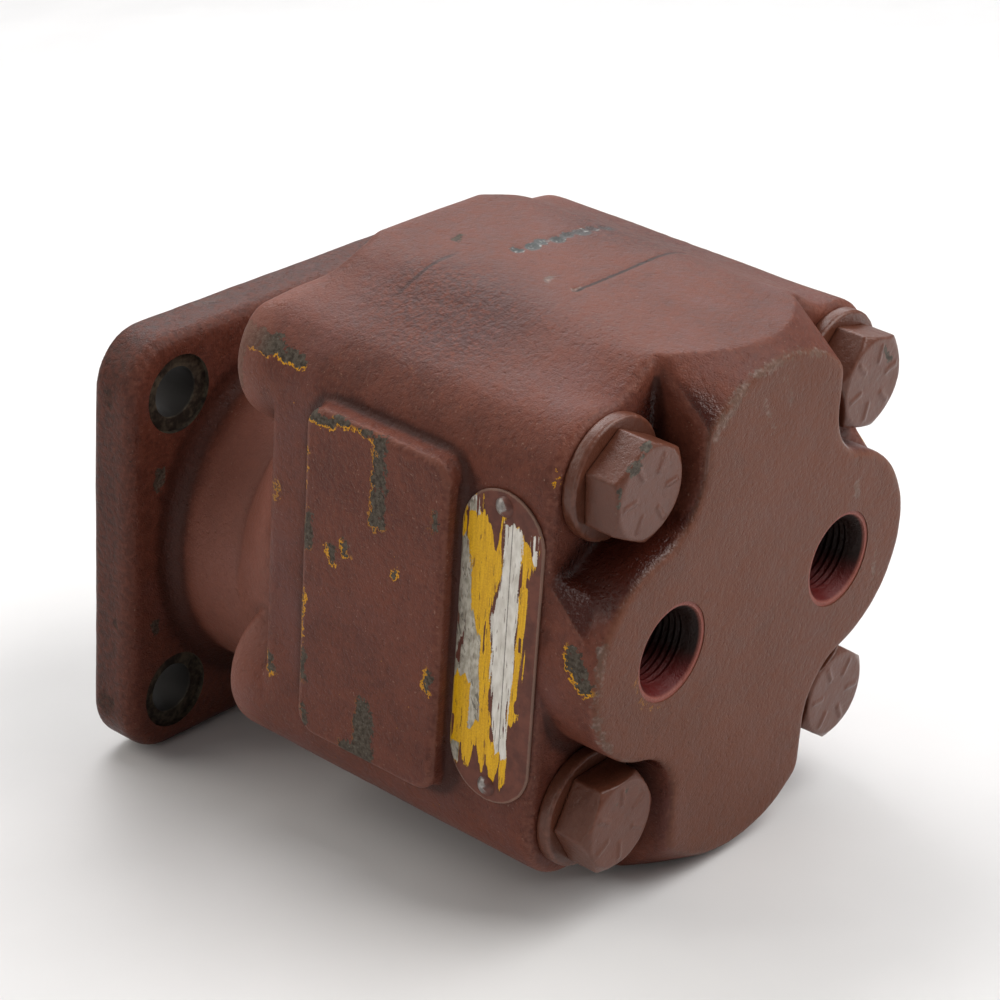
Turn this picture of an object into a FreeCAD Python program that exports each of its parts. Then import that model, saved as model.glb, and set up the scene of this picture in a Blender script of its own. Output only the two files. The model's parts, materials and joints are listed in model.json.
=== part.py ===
import FreeCAD, Part
import math
import os

# Hydraulic external gear pump with a four-bolt square flange, in millimetres.
# Origin: on the drive shaft's axis, at the flange's mounting face.
# +Y runs from the flange to the rear cover, +Z is up, and the drive shaft points along -Y.
# The idler gear sits straight above the drive gear, so the body is centred above the shaft.

V = FreeCAD.Vector
ALONG = V(0, 1, 0)
ORIGIN = V(0, 0, 0)

# Gear pair
TEETH = 12
MODULE = 4.75
PRESSURE_ANGLE = math.radians(25)
TOOTH_THINNING = 0.24
CENTRES = TEETH * MODULE
PITCH_R = CENTRES / 2
TIP_R = PITCH_R + MODULE
ROOT_R = PITCH_R - 1.25 * MODULE
BASE_R = PITCH_R * math.cos(PRESSURE_ANGLE)
MID_Z = CENTRES / 2
DRIVE_Z = 0.0
IDLER_Z = CENTRES

# Sections along the shaft
FLANGE_T = 14.0
FLARE_Y = 38.0
BOSS_Y = 50.5
CROWN_EDGE_Y = 56.0
SIDE_EDGE_Y = 64.5
FRONT_JOINT = 82.0
REAR_JOINT = 117.0
LEDGE_Y = 154.6
REAR_Y = 171.4

# Body section: a rounded square about the four cover bolts, with a crown above and below
BOLT_AT = 45.0
CORNER_R = 18.4
HALF = BOLT_AT + CORNER_R
OUTLINE_Z = MID_Z - 1.5
CROWN_Z = 71.3
CROWN_X = 28.0
CROWN_FOOT_X = 41.0
CROWN_R = 12.0
CROWN_EDGE_R = 5.0
BODY_EDGE_R = 2.5
BOSS_EDGE_R = 4.5
BEARING_BOSS_R = 22.0        # the wall round the idler bearing, above the neck
BEARING_BOSS_Y = 46.0
BEARING_BOSS_EDGE_R = 4.0

# Flange to SAE B four-bolt proportions, and the neck behind it
FLANGE_HALF = 62.0
FLANGE_CORNER_R = 15.0
FLANGE_EDGE_R = 4.0
FLANGE_HOLE_R = 7.15
FLANGE_PCD = 127.0
SPOTFACE_R = 11.0
SPOTFACE_DEPTH = 1.5
PILOT_R = 50.8
PILOT_H = 9.5
PILOT_CHAMFER = 0.5
NECK_R = 47.0
NECK_FILLET_R = 4.5
FLARE_R = 60.0

# Side pads
PAD_HALF_Z = 45.5
PAD_REAR = 128.0
PAD_X = 69.3
PAD_CORNER_R = 6.0
PAD_EDGE_R = 1.6

# Rear face: the crowns run back to it and end in a cone; a pocket clears each bolt head
PORT_X = 34.5
PORT_LOBE_R = 29.0
POCKET_R = math.hypot(BOLT_AT - PORT_X, BOLT_AT) - PORT_LOBE_R
POCKET_WALL_X = BOLT_AT - POCKET_R
CONE_R = 39.3
CONE_Z = 28.5
CONE_SLOPE = 0.65
CONE_CORNER_R = 5.0
REAR_EDGE_R = 2.0

# Ports, straight-thread O-ring type
THREAD_R = 10.2
THREAD_DEPTH = 17.0
PORT_CONE_R = 12.0
PORT_CONE_DEPTH = 2.2
PORT_RIM_R = 13.0
PORT_RIM_DEPTH = 0.4
PASSAGE_R = 9.0
CHAMBER_X = 45.0
CHAMBER_INNER_X = 10.0
CHAMBER_HALF_Z = 9.0

# Cover bolts, 5/8 inch, with hardened washers
BOLT_R = 7.9
BOLT_HOLE_R = 8.4
TAPPED_R = 7.95
TAPPED_END_Y = 55.5
BOLT_TIP_Y = 56.9
HEAD_FLATS = 23.8
HEAD_H = 10.1
HEAD_CHAMFER = 1.0
WASHER_R = 15.75
WASHER_HOLE_R = 8.3
WASHER_T = 3.9
WASHER_CHAMFER = 0.5
BOLT_TURNS = (5.0, 16.0, -28.0, -4.0)
MARK_COUNT = 6
MARK_LENGTH = 4.6
MARK_WIDTH = 0.9
MARK_H = 0.35
MARK_R = 7.6

# Shafts and their bearings
EXTENSION_R = 11.11
EXTENSION_END = -41.0
SHOULDER_Y = -12.0
JOURNAL_R = 12.7
SHAFT_END_Y = 143.0
IDLER_FRONT_Y = 56.0
SHAFT_CHAMFER = 1.2
KEY_WIDTH = 6.35
KEY_DEPTH = 3.2
KEYWAY_FRONT_Y = -38.5
KEYWAY_BACK_Y = -17.0
KEYWAY_TURN = 90.0
RUNNING = 0.05
BUSHING_R = 17.0
BUSHING_LENGTH = 25.5
BUSHING_FRONT_Y = 55.5
BUSHING_BORE_FRONT_Y = 52.0
BUSHING_BORE_REAR_Y = 146.0
OIL_GROOVE_W = 2.0
OIL_GROOVE_DEPTH = 0.8
SHAFT_BORE_R = 13.6

# Wear plates, between the gears' faces and the covers
PLATE_T = 5.0
PLATE_R = 33.2
PLATE_HOLE_R = 13.2
CAVITY_R = 33.35
PLATE_SEAL_OUT_R = 30.0
PLATE_SEAL_IN_R = 28.4
PLATE_SEAL_H = 1.5
RELIEF_X = 11.0
RELIEF_HALF_X = 3.5
RELIEF_HALF_Z = 4.0
RELIEF_DEPTH = 1.2

# Section seals, between the gear housing and the covers
SEAL_PATH_R = 36.5
SEAL_BULGE_X = 48.0
SEAL_BULGE_OUT_Z = 13.5
SEAL_BULGE_IN_Z = 17.5
SEAL_W = 2.3
SEAL_H = 2.3

# Dowels that line the housing up with the covers
DOWEL_R = 4.0
DOWEL_HALF = 8.0
DOWEL_X = 50.0
DOWEL_Z = 24.0
DOWEL_CHAMFER = 0.6

# Shaft seal and the snap ring that holds it
SEAL_BORE_R = 20.6
SEAL_BORE_END_Y = 2.0
SEAL_FRONT_Y = -6.4
CASE_WALL = 1.3
CASE_HOLE_R = 14.6
LIP_GAP = 0.05
SPRING_PATH_R = 15.85
SPRING_R = 0.8
SNAP_GROOVE_R = 22.2
SNAP_OUT_R = 22.0
SNAP_IN_R = 18.2
SNAP_Y = -7.9
SNAP_T = 1.4
SNAP_GAP = 9.0
SNAP_LUG_R = 2.6
SNAP_LUG_HOLE_R = 1.1

# Nameplate and its drive screws
NAMEPLATE_Y = 141.3
NAMEPLATE_W = 25.0
NAMEPLATE_HALF_Z = 42.0
NAMEPLATE_T = 0.8
SCREW_Z = 38.0
SCREW_HEAD_R = 2.7
SCREW_HEAD_H = 1.6
SCREW_R = 1.5
SCREW_LENGTH = 6.0

CORNERS = [(sx * BOLT_AT, MID_Z + sz * BOLT_AT) for sz in (1, -1) for sx in (1, -1)]
DOWELS = [(DOWEL_X, MID_Z + DOWEL_Z), (-DOWEL_X, MID_Z - DOWEL_Z)]


# ---- Building blocks ----

def cylinder(radius, y0, y1, x=0.0, z=0.0):
    return Part.makeCylinder(radius, y1 - y0, V(x, y0, z), ALONG)


def cone(radius0, radius1, y0, y1, x=0.0, z=0.0):
    return Part.makeCone(radius0, radius1, y1 - y0, V(x, y0, z), ALONG)


def block(x0, x1, y0, y1, z0, z1):
    return Part.makeBox(x1 - x0, y1 - y0, z1 - z0, V(x0, y0, z0))


def tube(outer, inner, y0, y1, x=0.0, z=0.0):
    return cylinder(outer, y0, y1, x, z).cut(cylinder(inner, y0, y1, x, z))


def rounded_wire(corners, place):
    """A closed outline of (u, v, radius) corners, each with a tangent arc; place maps (u, v) to 3-D."""
    starts = []
    middles = []
    ends = []
    count = len(corners)
    for index, (u, v, radius) in enumerate(corners):
        before = corners[index - 1]
        after = corners[(index + 1) % count]
        to_before = V(before[0] - u, before[1] - v, 0).normalize()
        to_after = V(after[0] - u, after[1] - v, 0).normalize()
        corner = V(u, v, 0)
        half = to_before.getAngle(to_after) / 2
        reach = radius / math.tan(half)
        inward = (to_before + to_after).normalize()
        starts.append(corner + to_before * reach)
        middles.append(corner + inward * (radius / math.sin(half) - radius))
        ends.append(corner + to_after * reach)
    edges = []
    for index in range(count):
        start, middle, end = (place(p.x, p.y) for p in (starts[index], middles[index], ends[index]))
        following = starts[(index + 1) % count]
        following = place(following.x, following.y)
        if (start - end).Length > 1e-6:
            edges.append(Part.Arc(start, middle, end).toShape())
        if (end - following).Length > 1e-6:
            edges.append(Part.LineSegment(end, following).toShape())
    return Part.Wire(edges)


def prism(corners, y0, y1):
    """Extrude an outline of (x, z, radius) corners from y0 to y1."""
    wire = rounded_wire(corners, lambda x, z: V(x, y0, z))
    return Part.Face(wire).extrude(V(0, y1 - y0, 0))


def revolve(outline, x=0.0, z=0.0):
    """Turn an outline of (radius, y) points about an axis along Y."""
    points = [V(x + radius, y, z) for radius, y in outline]
    face = Part.Face(Part.makePolygon(points + points[:1]))
    return face.revolve(V(x, 0, z), ALONG, 360)


def fuse(shapes):
    return shapes[0].multiFuse(shapes[1:]).removeSplitter()


def cut(shape, tools):
    return shape.cut(tools)


def edges_at_y(shape, y):
    """The edges that lie wholly in the plane at this y."""
    tolerance = 0.01
    return [edge for edge in shape.Edges
            if abs(edge.BoundBox.YMin - y) < tolerance and abs(edge.BoundBox.YMax - y) < tolerance]


def round_at_y(shape, y, radius):
    return shape.makeFillet(radius, edges_at_y(shape, y))


def figure_eight(radius, y0, y1):
    return cylinder(radius, y0, y1, 0, DRIVE_Z).fuse(cylinder(radius, y0, y1, 0, IDLER_Z))


# ---- Outer shapes shared by the three castings ----

def body_section(y0, y1):
    """The castings' common outline: a rounded square with a low crown above and below."""
    quarter = [(CROWN_X, CROWN_Z, CROWN_R), (CROWN_FOOT_X, HALF, CROWN_R), (HALF, HALF, CORNER_R)]
    right = quarter + [(x, -z, radius) for x, z, radius in reversed(quarter)]
    left = [(-x, z, radius) for x, z, radius in reversed(right)]
    return prism([(x, OUTLINE_Z + z, radius) for x, z, radius in right + left], y0, y1)


def side_pads(y0, y1):
    """The raised pad on each side, between y0 and y1."""
    pads = []
    for side in (1, -1):
        base = side * (HALF - 6)
        corners = [(y, MID_Z + up * PAD_HALF_Z, PAD_CORNER_R)
                   for y, up in ((FRONT_JOINT, -1), (PAD_REAR, -1), (PAD_REAR, 1), (FRONT_JOINT, 1))]
        wire = rounded_wire(corners, lambda y, z: V(base, y, z))
        pad = Part.Face(wire).extrude(V(side * PAD_X - base, 0, 0))
        rim = [edge for edge in pad.Edges
               if abs(edge.BoundBox.XMin - side * PAD_X) < 0.01
               and abs(edge.BoundBox.XMax - side * PAD_X) < 0.01]
        pad = pad.makeFillet(PAD_EDGE_R, rim)
        span = block(-2 * HALF, 2 * HALF, y0, y1, -2 * HALF, 3 * HALF)
        pads.append(pad.common(span))
    return pads


def bolt_pocket(side_x, side_z, y0, y1):
    """The space around one bolt head: a wall, an arc about the bolt and an arc about the port."""
    arc_end = math.atan2(-BOLT_AT, PORT_X - BOLT_AT)
    outside = HALF + 20

    def place(x, z):
        return V(side_x * x, y0, MID_Z + side_z * z)

    def arc(centre_x, centre_z, radius, angle0, angle1):
        angles = (angle0, (angle0 + angle1) / 2, angle1)
        points = [place(centre_x + radius * math.cos(a), centre_z + radius * math.sin(a)) for a in angles]
        return Part.Arc(*points).toShape()

    edges = [arc(BOLT_AT, BOLT_AT, POCKET_R, -math.pi, arc_end),
             arc(PORT_X, 0, PORT_LOBE_R, arc_end + math.pi, 0)]
    corners = [(PORT_X + PORT_LOBE_R, 0), (outside, 0), (outside, outside), (POCKET_WALL_X, outside),
               (POCKET_WALL_X, BOLT_AT)]
    for start, end in zip(corners, corners[1:]):
        edges.append(Part.LineSegment(place(*start), place(*end)).toShape())
    return Part.Face(Part.Wire(Part.__sortEdges__(edges))).extrude(V(0, y1 - y0, 0))


def rear_lobes(y0, y1):
    """The raised rear face, with the crown's end turned down to a cone above and below."""
    pockets = [bolt_pocket(sx, sz, y0 - 1, y1 + 1) for sx in (1, -1) for sz in (1, -1)]
    lobes = body_section(y0, y1).cut(pockets)
    cones = [cone(CONE_R + CONE_SLOPE * (y1 - y0), CONE_R, y0, y1, 0, OUTLINE_Z + side * CONE_Z)
             for side in (1, -1)]
    middle = block(-HALF - 1, HALF + 1, y0, y1, MID_Z - PORT_LOBE_R - 1, MID_Z + PORT_LOBE_R + 1)
    lobes = lobes.common(fuse(cones + [middle]))
    corners = [edge for edge in lobes.Edges
               if abs(edge.BoundBox.XMin - edge.BoundBox.XMax) < 0.01
               and abs(abs(edge.BoundBox.XMin) - POCKET_WALL_X) < 0.01
               and edge.BoundBox.YLength > (y1 - y0) / 2
               and edge.BoundBox.ZLength > 3]
    lobes = lobes.makeFillet(CONE_CORNER_R, corners)
    return round_at_y(lobes, y1, REAR_EDGE_R)


def seal_loop(y0, y1):
    """A square-section ring that runs round the gear bores and both port chambers."""
    def outline(grow):
        side = SEAL_PATH_R + grow
        bulge = SEAL_BULGE_X + grow
        corner_r = 4.0 + grow
        inner_r = 4.0 - grow
        quarter = [(side, CENTRES / 2 + side, side - 0.1), (side, SEAL_BULGE_IN_Z + grow, inner_r),
                   (bulge, SEAL_BULGE_OUT_Z + grow, corner_r)]
        right = quarter + [(x, -z, radius) for x, z, radius in reversed(quarter)]
        left = [(-x, z, radius) for x, z, radius in reversed(right)]
        return [(x, MID_Z + z, radius) for x, z, radius in right + left]
    return prism(outline(SEAL_W / 2), y0, y1).cut(prism(outline(-SEAL_W / 2), y0, y1))


# ---- Castings ----

def make_front_cover():
    flange_corners = [(sx * FLANGE_HALF, sz * FLANGE_HALF, FLANGE_CORNER_R)
                      for sx, sz in ((1, 1), (1, -1), (-1, -1), (-1, 1))]
    flange = prism(flange_corners, 0, FLANGE_T)
    flange = round_at_y(flange, FLANGE_T, FLANGE_EDGE_R)
    flange = flange.makeChamfer(0.8, edges_at_y(flange, 0))
    neck = cylinder(NECK_R, 1, SIDE_EDGE_Y + 2)
    stem = flange.fuse(neck).removeSplitter()
    root = [edge for edge in edges_at_y(stem, FLANGE_T) if edge.BoundBox.XLength < 2 * NECK_R + 1]
    stem = stem.makeFillet(NECK_FILLET_R, root)
    pilot = cylinder(PILOT_R, -PILOT_H, 2)
    pilot = pilot.makeChamfer(PILOT_CHAMFER, edges_at_y(pilot, -PILOT_H))

    small = Part.Wire(Part.makeCircle(NECK_R - 0.5, V(0, FLARE_Y, 0), ALONG))
    large = Part.Wire(Part.makeCircle(FLARE_R, V(0, SIDE_EDGE_Y + 1, MID_Z), ALONG))
    flare = Part.makeLoft([small, large], True, True)

    body = round_at_y(body_section(SIDE_EDGE_Y, FRONT_JOINT), SIDE_EDGE_Y, BODY_EDGE_R)
    bosses = []
    for x, z in CORNERS:
        outline_z = OUTLINE_Z + math.copysign(BOLT_AT, z - MID_Z)
        boss = cylinder(CORNER_R, BOSS_Y, FRONT_JOINT - 8, x, outline_z)
        bosses.append(round_at_y(boss, BOSS_Y, BOSS_EDGE_R))
    crowns = []
    for up in (1, -1):
        outline = [(CROWN_X, CROWN_Z, CROWN_R), (CROWN_FOOT_X, HALF, CROWN_R), (BOLT_AT, HALF, 0),
                   (BOLT_AT, 25, 0)]
        both = outline + [(-x, z, radius) for x, z, radius in reversed(outline)]
        both = [(x, OUTLINE_Z + up * z, radius) for x, z, radius in both]
        crown = prism(both, CROWN_EDGE_Y, FRONT_JOINT - 8)
        brow = [edge for edge in edges_at_y(crown, CROWN_EDGE_Y)
                if abs(edge.CenterOfMass.z - OUTLINE_Z) > HALF - 1]
        crowns.append(crown.makeFillet(CROWN_EDGE_R, brow))
    bearing_boss = cylinder(BEARING_BOSS_R, BEARING_BOSS_Y, CROWN_EDGE_Y + 6, 0, IDLER_Z)
    bearing_boss = round_at_y(bearing_boss, BEARING_BOSS_Y, BEARING_BOSS_EDGE_R)
    cover = fuse([stem, pilot, flare, body, bearing_boss] + bosses + crowns)

    hole_at = FLANGE_PCD / 2 * math.cos(math.radians(45))
    tools = []
    for sx in (1, -1):
        for sz in (1, -1):
            tools.append(cylinder(FLANGE_HOLE_R, -1, FLANGE_T + 1, sx * hole_at, sz * hole_at))
            tools.append(cylinder(SPOTFACE_R, FLANGE_T - SPOTFACE_DEPTH, FLANGE_T + 12,
                                  sx * hole_at, sz * hole_at))
    tools.append(cylinder(SEAL_BORE_R, -PILOT_H - 1, SEAL_BORE_END_Y))
    tools.append(cylinder(SNAP_GROOVE_R, SNAP_Y - 0.1, SNAP_Y + SNAP_T + 0.1))
    tools.append(cylinder(SHAFT_BORE_R, 0, BUSHING_BORE_FRONT_Y + 1))
    for z in (DRIVE_Z, IDLER_Z):
        tools.append(cylinder(BUSHING_R, BUSHING_BORE_FRONT_Y, FRONT_JOINT + 1, 0, z))
    for x, z in CORNERS:
        tools.append(cylinder(TAPPED_R, TAPPED_END_Y, FRONT_JOINT + 1, x, z))
    for x, z in DOWELS:
        tools.append(cylinder(DOWEL_R, FRONT_JOINT - DOWEL_HALF - 0.5, FRONT_JOINT + 1, x, z))
    tools.append(seal_loop(FRONT_JOINT - SEAL_H, FRONT_JOINT + 1))
    return cut(cover, tools)


def port_chamber(side):
    x0 = side * CHAMBER_INNER_X
    x1 = side * CHAMBER_X
    corners = [(x0, MID_Z - CHAMBER_HALF_Z, 0.5), (x1, MID_Z - CHAMBER_HALF_Z, 6),
               (x1, MID_Z + CHAMBER_HALF_Z, 6), (x0, MID_Z + CHAMBER_HALF_Z, 0.5)]
    return prism(corners, FRONT_JOINT - 1, REAR_JOINT + 1)


def make_gear_housing():
    housing = fuse([body_section(FRONT_JOINT, REAR_JOINT)] + side_pads(FRONT_JOINT, REAR_JOINT))
    tools = [figure_eight(CAVITY_R, FRONT_JOINT - 1, REAR_JOINT + 1), port_chamber(1), port_chamber(-1)]
    for x, z in CORNERS:
        tools.append(cylinder(BOLT_HOLE_R, FRONT_JOINT - 1, REAR_JOINT + 1, x, z))
    for x, z in DOWELS:
        tools.append(cylinder(DOWEL_R, FRONT_JOINT - 1, FRONT_JOINT + DOWEL_HALF + 0.5, x, z))
        tools.append(cylinder(DOWEL_R, REAR_JOINT - DOWEL_HALF - 0.5, REAR_JOINT + 1, x, z))
    return cut(housing, tools)


def make_rear_cover():
    block_end = round_at_y(body_section(REAR_JOINT, LEDGE_Y), LEDGE_Y, BODY_EDGE_R)
    lobes = rear_lobes(LEDGE_Y - 2 * BODY_EDGE_R, REAR_Y)
    cover = fuse([block_end, lobes] + side_pads(REAR_JOINT, PAD_REAR + 1))
    tools = []
    for side in (1, -1):
        x = side * PORT_X
        tools.append(cylinder(PORT_RIM_R, REAR_Y - PORT_RIM_DEPTH, REAR_Y + 1, x, MID_Z))
        tools.append(cone(THREAD_R, PORT_CONE_R, REAR_Y - PORT_RIM_DEPTH - PORT_CONE_DEPTH,
                          REAR_Y - PORT_RIM_DEPTH, x, MID_Z))
        tools.append(cylinder(THREAD_R, REAR_Y - THREAD_DEPTH, REAR_Y, x, MID_Z))
        tools.append(cylinder(PASSAGE_R, REAR_JOINT - 1, REAR_Y - THREAD_DEPTH + 1, x, MID_Z))
    for z in (DRIVE_Z, IDLER_Z):
        tools.append(cylinder(BUSHING_R, REAR_JOINT - 1, BUSHING_BORE_REAR_Y, 0, z))
    for x, z in CORNERS:
        tools.append(cylinder(BOLT_HOLE_R, REAR_JOINT - 1, LEDGE_Y + 1, x, z))
    for x, z in DOWELS:
        tools.append(cylinder(DOWEL_R, REAR_JOINT - 1, REAR_JOINT + DOWEL_HALF + 0.5, x, z))
    tools.append(seal_loop(REAR_JOINT - 1, REAR_JOINT + SEAL_H))
    for side in (1, -1):
        start = V(HALF - SCREW_LENGTH, NAMEPLATE_Y, MID_Z + side * SCREW_Z)
        tools.append(Part.makeCylinder(SCREW_R, SCREW_LENGTH + 1, start, V(1, 0, 0)))
    return cut(cover, tools)


# ---- Shafts, gears and keys ----

def gear_face_y():
    front = FRONT_JOINT + PLATE_T + RUNNING
    back = REAR_JOINT - PLATE_T - RUNNING
    return front, back


def involute(angle):
    return math.tan(angle) - angle


def make_gear(axis_z, tooth_at):
    """A spur gear whose first tooth points tooth_at radians from +Z towards +X."""
    front, back = gear_face_y()
    flank_steps = 7

    def point(radius, angle):
        return V(radius * math.sin(angle), front, axis_z + radius * math.cos(angle))

    def half_angle(radius):
        shrink = TOOTH_THINNING / (2 * PITCH_R)
        flank = math.acos(min(1.0, BASE_R / radius))
        return math.pi / (2 * TEETH) - shrink + involute(PRESSURE_ANGLE) - involute(flank)

    def flank_curve(centre, side):
        radii = [BASE_R + (TIP_R - BASE_R) * (step / flank_steps) ** 1.5 for step in range(flank_steps + 1)]
        points = [point(radius, centre + side * half_angle(radius)) for radius in radii]
        curve = Part.BSplineCurve()
        curve.interpolate(points)
        return curve.toShape()

    def arc(radius, angle0, angle1):
        middle = (angle0 + angle1) / 2
        return Part.Arc(point(radius, angle0), point(radius, middle), point(radius, angle1)).toShape()

    pitch = 2 * math.pi / TEETH
    base = half_angle(BASE_R)
    tip = half_angle(TIP_R)
    edges = []
    for tooth in range(TEETH):
        centre = tooth_at + tooth * pitch
        left = Part.LineSegment(point(ROOT_R, centre - base), point(BASE_R, centre - base)).toShape()
        right = Part.LineSegment(point(ROOT_R, centre + base), point(BASE_R, centre + base)).toShape()
        edges += [left, flank_curve(centre, -1), arc(TIP_R, centre - tip, centre + tip),
                  flank_curve(centre, 1), right, arc(ROOT_R, centre + base, centre + pitch - base)]
    wire = Part.Wire(Part.__sortEdges__(edges))
    gear = Part.Face(wire).extrude(V(0, back - front, 0))
    keyway = block(-KEY_WIDTH / 2, KEY_WIDTH / 2, front - 1, back + 1,
                   axis_z, axis_z + JOURNAL_R - KEY_DEPTH + KEY_WIDTH)
    return gear.cut([cylinder(JOURNAL_R, front - 1, back + 1, 0, axis_z), keyway])


def make_key(axis_z):
    front, back = gear_face_y()
    floor = axis_z + JOURNAL_R - KEY_DEPTH
    return block(-KEY_WIDTH / 2, KEY_WIDTH / 2, front, back, floor, floor + KEY_WIDTH)


def key_seat(axis_z):
    front, back = gear_face_y()
    return block(-KEY_WIDTH / 2, KEY_WIDTH / 2, front, back,
                 axis_z + JOURNAL_R - KEY_DEPTH, axis_z + JOURNAL_R + 1)


def make_drive_shaft():
    shaft = revolve([(0, EXTENSION_END), (EXTENSION_R - SHAFT_CHAMFER, EXTENSION_END),
                     (EXTENSION_R, EXTENSION_END + SHAFT_CHAMFER), (EXTENSION_R, SHOULDER_Y),
                     (JOURNAL_R - SHAFT_CHAMFER / 2, SHOULDER_Y), (JOURNAL_R, SHOULDER_Y + SHAFT_CHAMFER / 2),
                     (JOURNAL_R, SHAFT_END_Y - SHAFT_CHAMFER), (JOURNAL_R - SHAFT_CHAMFER, SHAFT_END_Y),
                     (0, SHAFT_END_Y)])
    half = KEY_WIDTH / 2
    floor = EXTENSION_R - KEY_DEPTH
    keyway = block(-half, half, KEYWAY_FRONT_Y + half, KEYWAY_BACK_Y - half, floor, EXTENSION_R + 1)
    ends = [Part.makeCylinder(half, KEY_DEPTH + 1, V(0, y, floor))
            for y in (KEYWAY_FRONT_Y + half, KEYWAY_BACK_Y - half)]
    keyway = keyway.multiFuse(ends).removeSplitter()
    keyway.rotate(ORIGIN, ALONG, KEYWAY_TURN)
    centre_drill = cone(2.6, 0.4, EXTENSION_END, EXTENSION_END + 5)
    return shaft.cut([keyway, centre_drill, key_seat(DRIVE_Z)])


def make_idler_shaft():
    front = IDLER_FRONT_Y
    shaft = revolve([(0, front), (JOURNAL_R - SHAFT_CHAMFER, front), (JOURNAL_R, front + SHAFT_CHAMFER),
                     (JOURNAL_R, SHAFT_END_Y - SHAFT_CHAMFER), (JOURNAL_R - SHAFT_CHAMFER, SHAFT_END_Y),
                     (0, SHAFT_END_Y)], 0, IDLER_Z)
    return shaft.cut(key_seat(IDLER_Z))


# ---- Bearings, wear plates and seals ----

def make_bushing(y0, axis_z):
    inner = JOURNAL_R + RUNNING
    bushing = tube(BUSHING_R, inner, y0, y0 + BUSHING_LENGTH, 0, axis_z)
    groove = block(-OIL_GROOVE_W / 2, OIL_GROOVE_W / 2, y0 - 1, y0 + BUSHING_LENGTH + 1,
                   axis_z - inner - OIL_GROOVE_DEPTH, axis_z)
    return bushing.cut(groove)


def make_wear_plate(cover_y, towards_gears):
    """A bronze plate against the cover at cover_y; towards_gears is +1 or -1 along Y."""
    gear_y = cover_y + towards_gears * PLATE_T
    low, high = sorted((cover_y, gear_y))
    plate = figure_eight(PLATE_R, low, high).removeSplitter()
    tools = [cylinder(PLATE_HOLE_R, low - 1, high + 1, 0, z) for z in (DRIVE_Z, IDLER_Z)]
    tools.append(make_plate_seal(cover_y, towards_gears))
    low, high = sorted((gear_y - towards_gears * RELIEF_DEPTH, gear_y + towards_gears))
    for side in (1, -1):
        x = side * RELIEF_X
        tools.append(block(x - RELIEF_HALF_X, x + RELIEF_HALF_X, low, high,
                           MID_Z - RELIEF_HALF_Z, MID_Z + RELIEF_HALF_Z))
    return plate.cut(tools)


def make_plate_seal(cover_y, towards_gears):
    low, high = sorted((cover_y, cover_y + towards_gears * PLATE_SEAL_H))
    outer = figure_eight(PLATE_SEAL_OUT_R, low, high).removeSplitter()
    return outer.cut([cylinder(PLATE_SEAL_IN_R, low, high, 0, z) for z in (DRIVE_Z, IDLER_Z)])


def make_seal_case():
    outer = SEAL_BORE_R
    inner = outer - CASE_WALL
    return revolve([(CASE_HOLE_R, SEAL_FRONT_Y), (outer, SEAL_FRONT_Y), (outer, SEAL_BORE_END_Y - 0.2),
                    (inner, SEAL_BORE_END_Y - 0.2), (inner, SEAL_FRONT_Y + CASE_WALL),
                    (CASE_HOLE_R, SEAL_FRONT_Y + CASE_WALL)])


def make_seal_lip():
    web = SEAL_FRONT_Y + CASE_WALL
    tip = JOURNAL_R + LIP_GAP
    spring_seat = SPRING_PATH_R - SPRING_R
    return revolve([(CASE_HOLE_R, web), (18.2, web), (18.2, web + 1.4), (15.6, web + 2.4),
                    (spring_seat, -1.0), (spring_seat, 1.4), (tip + 1.0, 1.4), (tip, 0.2),
                    (tip + 0.9, -1.6), (14.0, web + 1.6)])


def make_garter_spring():
    return Part.makeTorus(SPRING_PATH_R, SPRING_R, V(0, 0.2, 0), ALONG)


def make_snap_ring():
    ring = tube(SNAP_OUT_R, SNAP_IN_R, SNAP_Y, SNAP_Y + SNAP_T)
    gap = block(-SNAP_GAP / 2, SNAP_GAP / 2, SNAP_Y - 1, SNAP_Y + SNAP_T + 1, -SNAP_OUT_R - 1, 0)
    ring = ring.cut(gap)
    lugs = []
    holes = []
    for side in (1, -1):
        x = side * (SNAP_GAP / 2 + SNAP_LUG_R - 0.4)
        z = -(SNAP_IN_R - 0.2)
        lugs.append(cylinder(SNAP_LUG_R, SNAP_Y, SNAP_Y + SNAP_T, x, z))
        holes.append(cylinder(SNAP_LUG_HOLE_R, SNAP_Y - 1, SNAP_Y + SNAP_T + 1, x, z))
    return fuse([ring] + lugs).cut(holes)


# ---- Fasteners and trim ----

def make_bolt(x, z, turn):
    head_y = LEDGE_Y + WASHER_T
    face_y = head_y + HEAD_H
    corner_r = HEAD_FLATS / math.sqrt(3)
    points = []
    for side in range(6):
        angle = math.radians(turn + 60 * side)
        points.append(V(x + corner_r * math.sin(angle), head_y, z + corner_r * math.cos(angle)))
    head = Part.Face(Part.makePolygon(points + points[:1])).extrude(V(0, HEAD_H, 0))
    crown = cylinder(corner_r + 1, head_y, face_y - 2 * HEAD_CHAMFER, x, z)
    top = cone(corner_r + 1, HEAD_FLATS / 2 - 0.4, face_y - 2 * HEAD_CHAMFER, face_y, x, z)
    head = head.common(crown.fuse(top).removeSplitter())
    marks = []
    for mark in range(MARK_COUNT):
        bar = block(-MARK_WIDTH / 2, MARK_WIDTH / 2, face_y - 0.5, face_y + MARK_H,
                    MARK_R - MARK_LENGTH / 2, MARK_R + MARK_LENGTH / 2)
        bar.rotate(ORIGIN, ALONG, turn + 30 + 360 / MARK_COUNT * mark)
        bar.translate(V(x, 0, z))
        marks.append(bar)
    shank = revolve([(0, BOLT_TIP_Y), (BOLT_R - SHAFT_CHAMFER, BOLT_TIP_Y),
                     (BOLT_R, BOLT_TIP_Y + SHAFT_CHAMFER), (BOLT_R, head_y + 1), (0, head_y + 1)], x, z)
    return fuse([head, shank] + marks)


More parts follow.
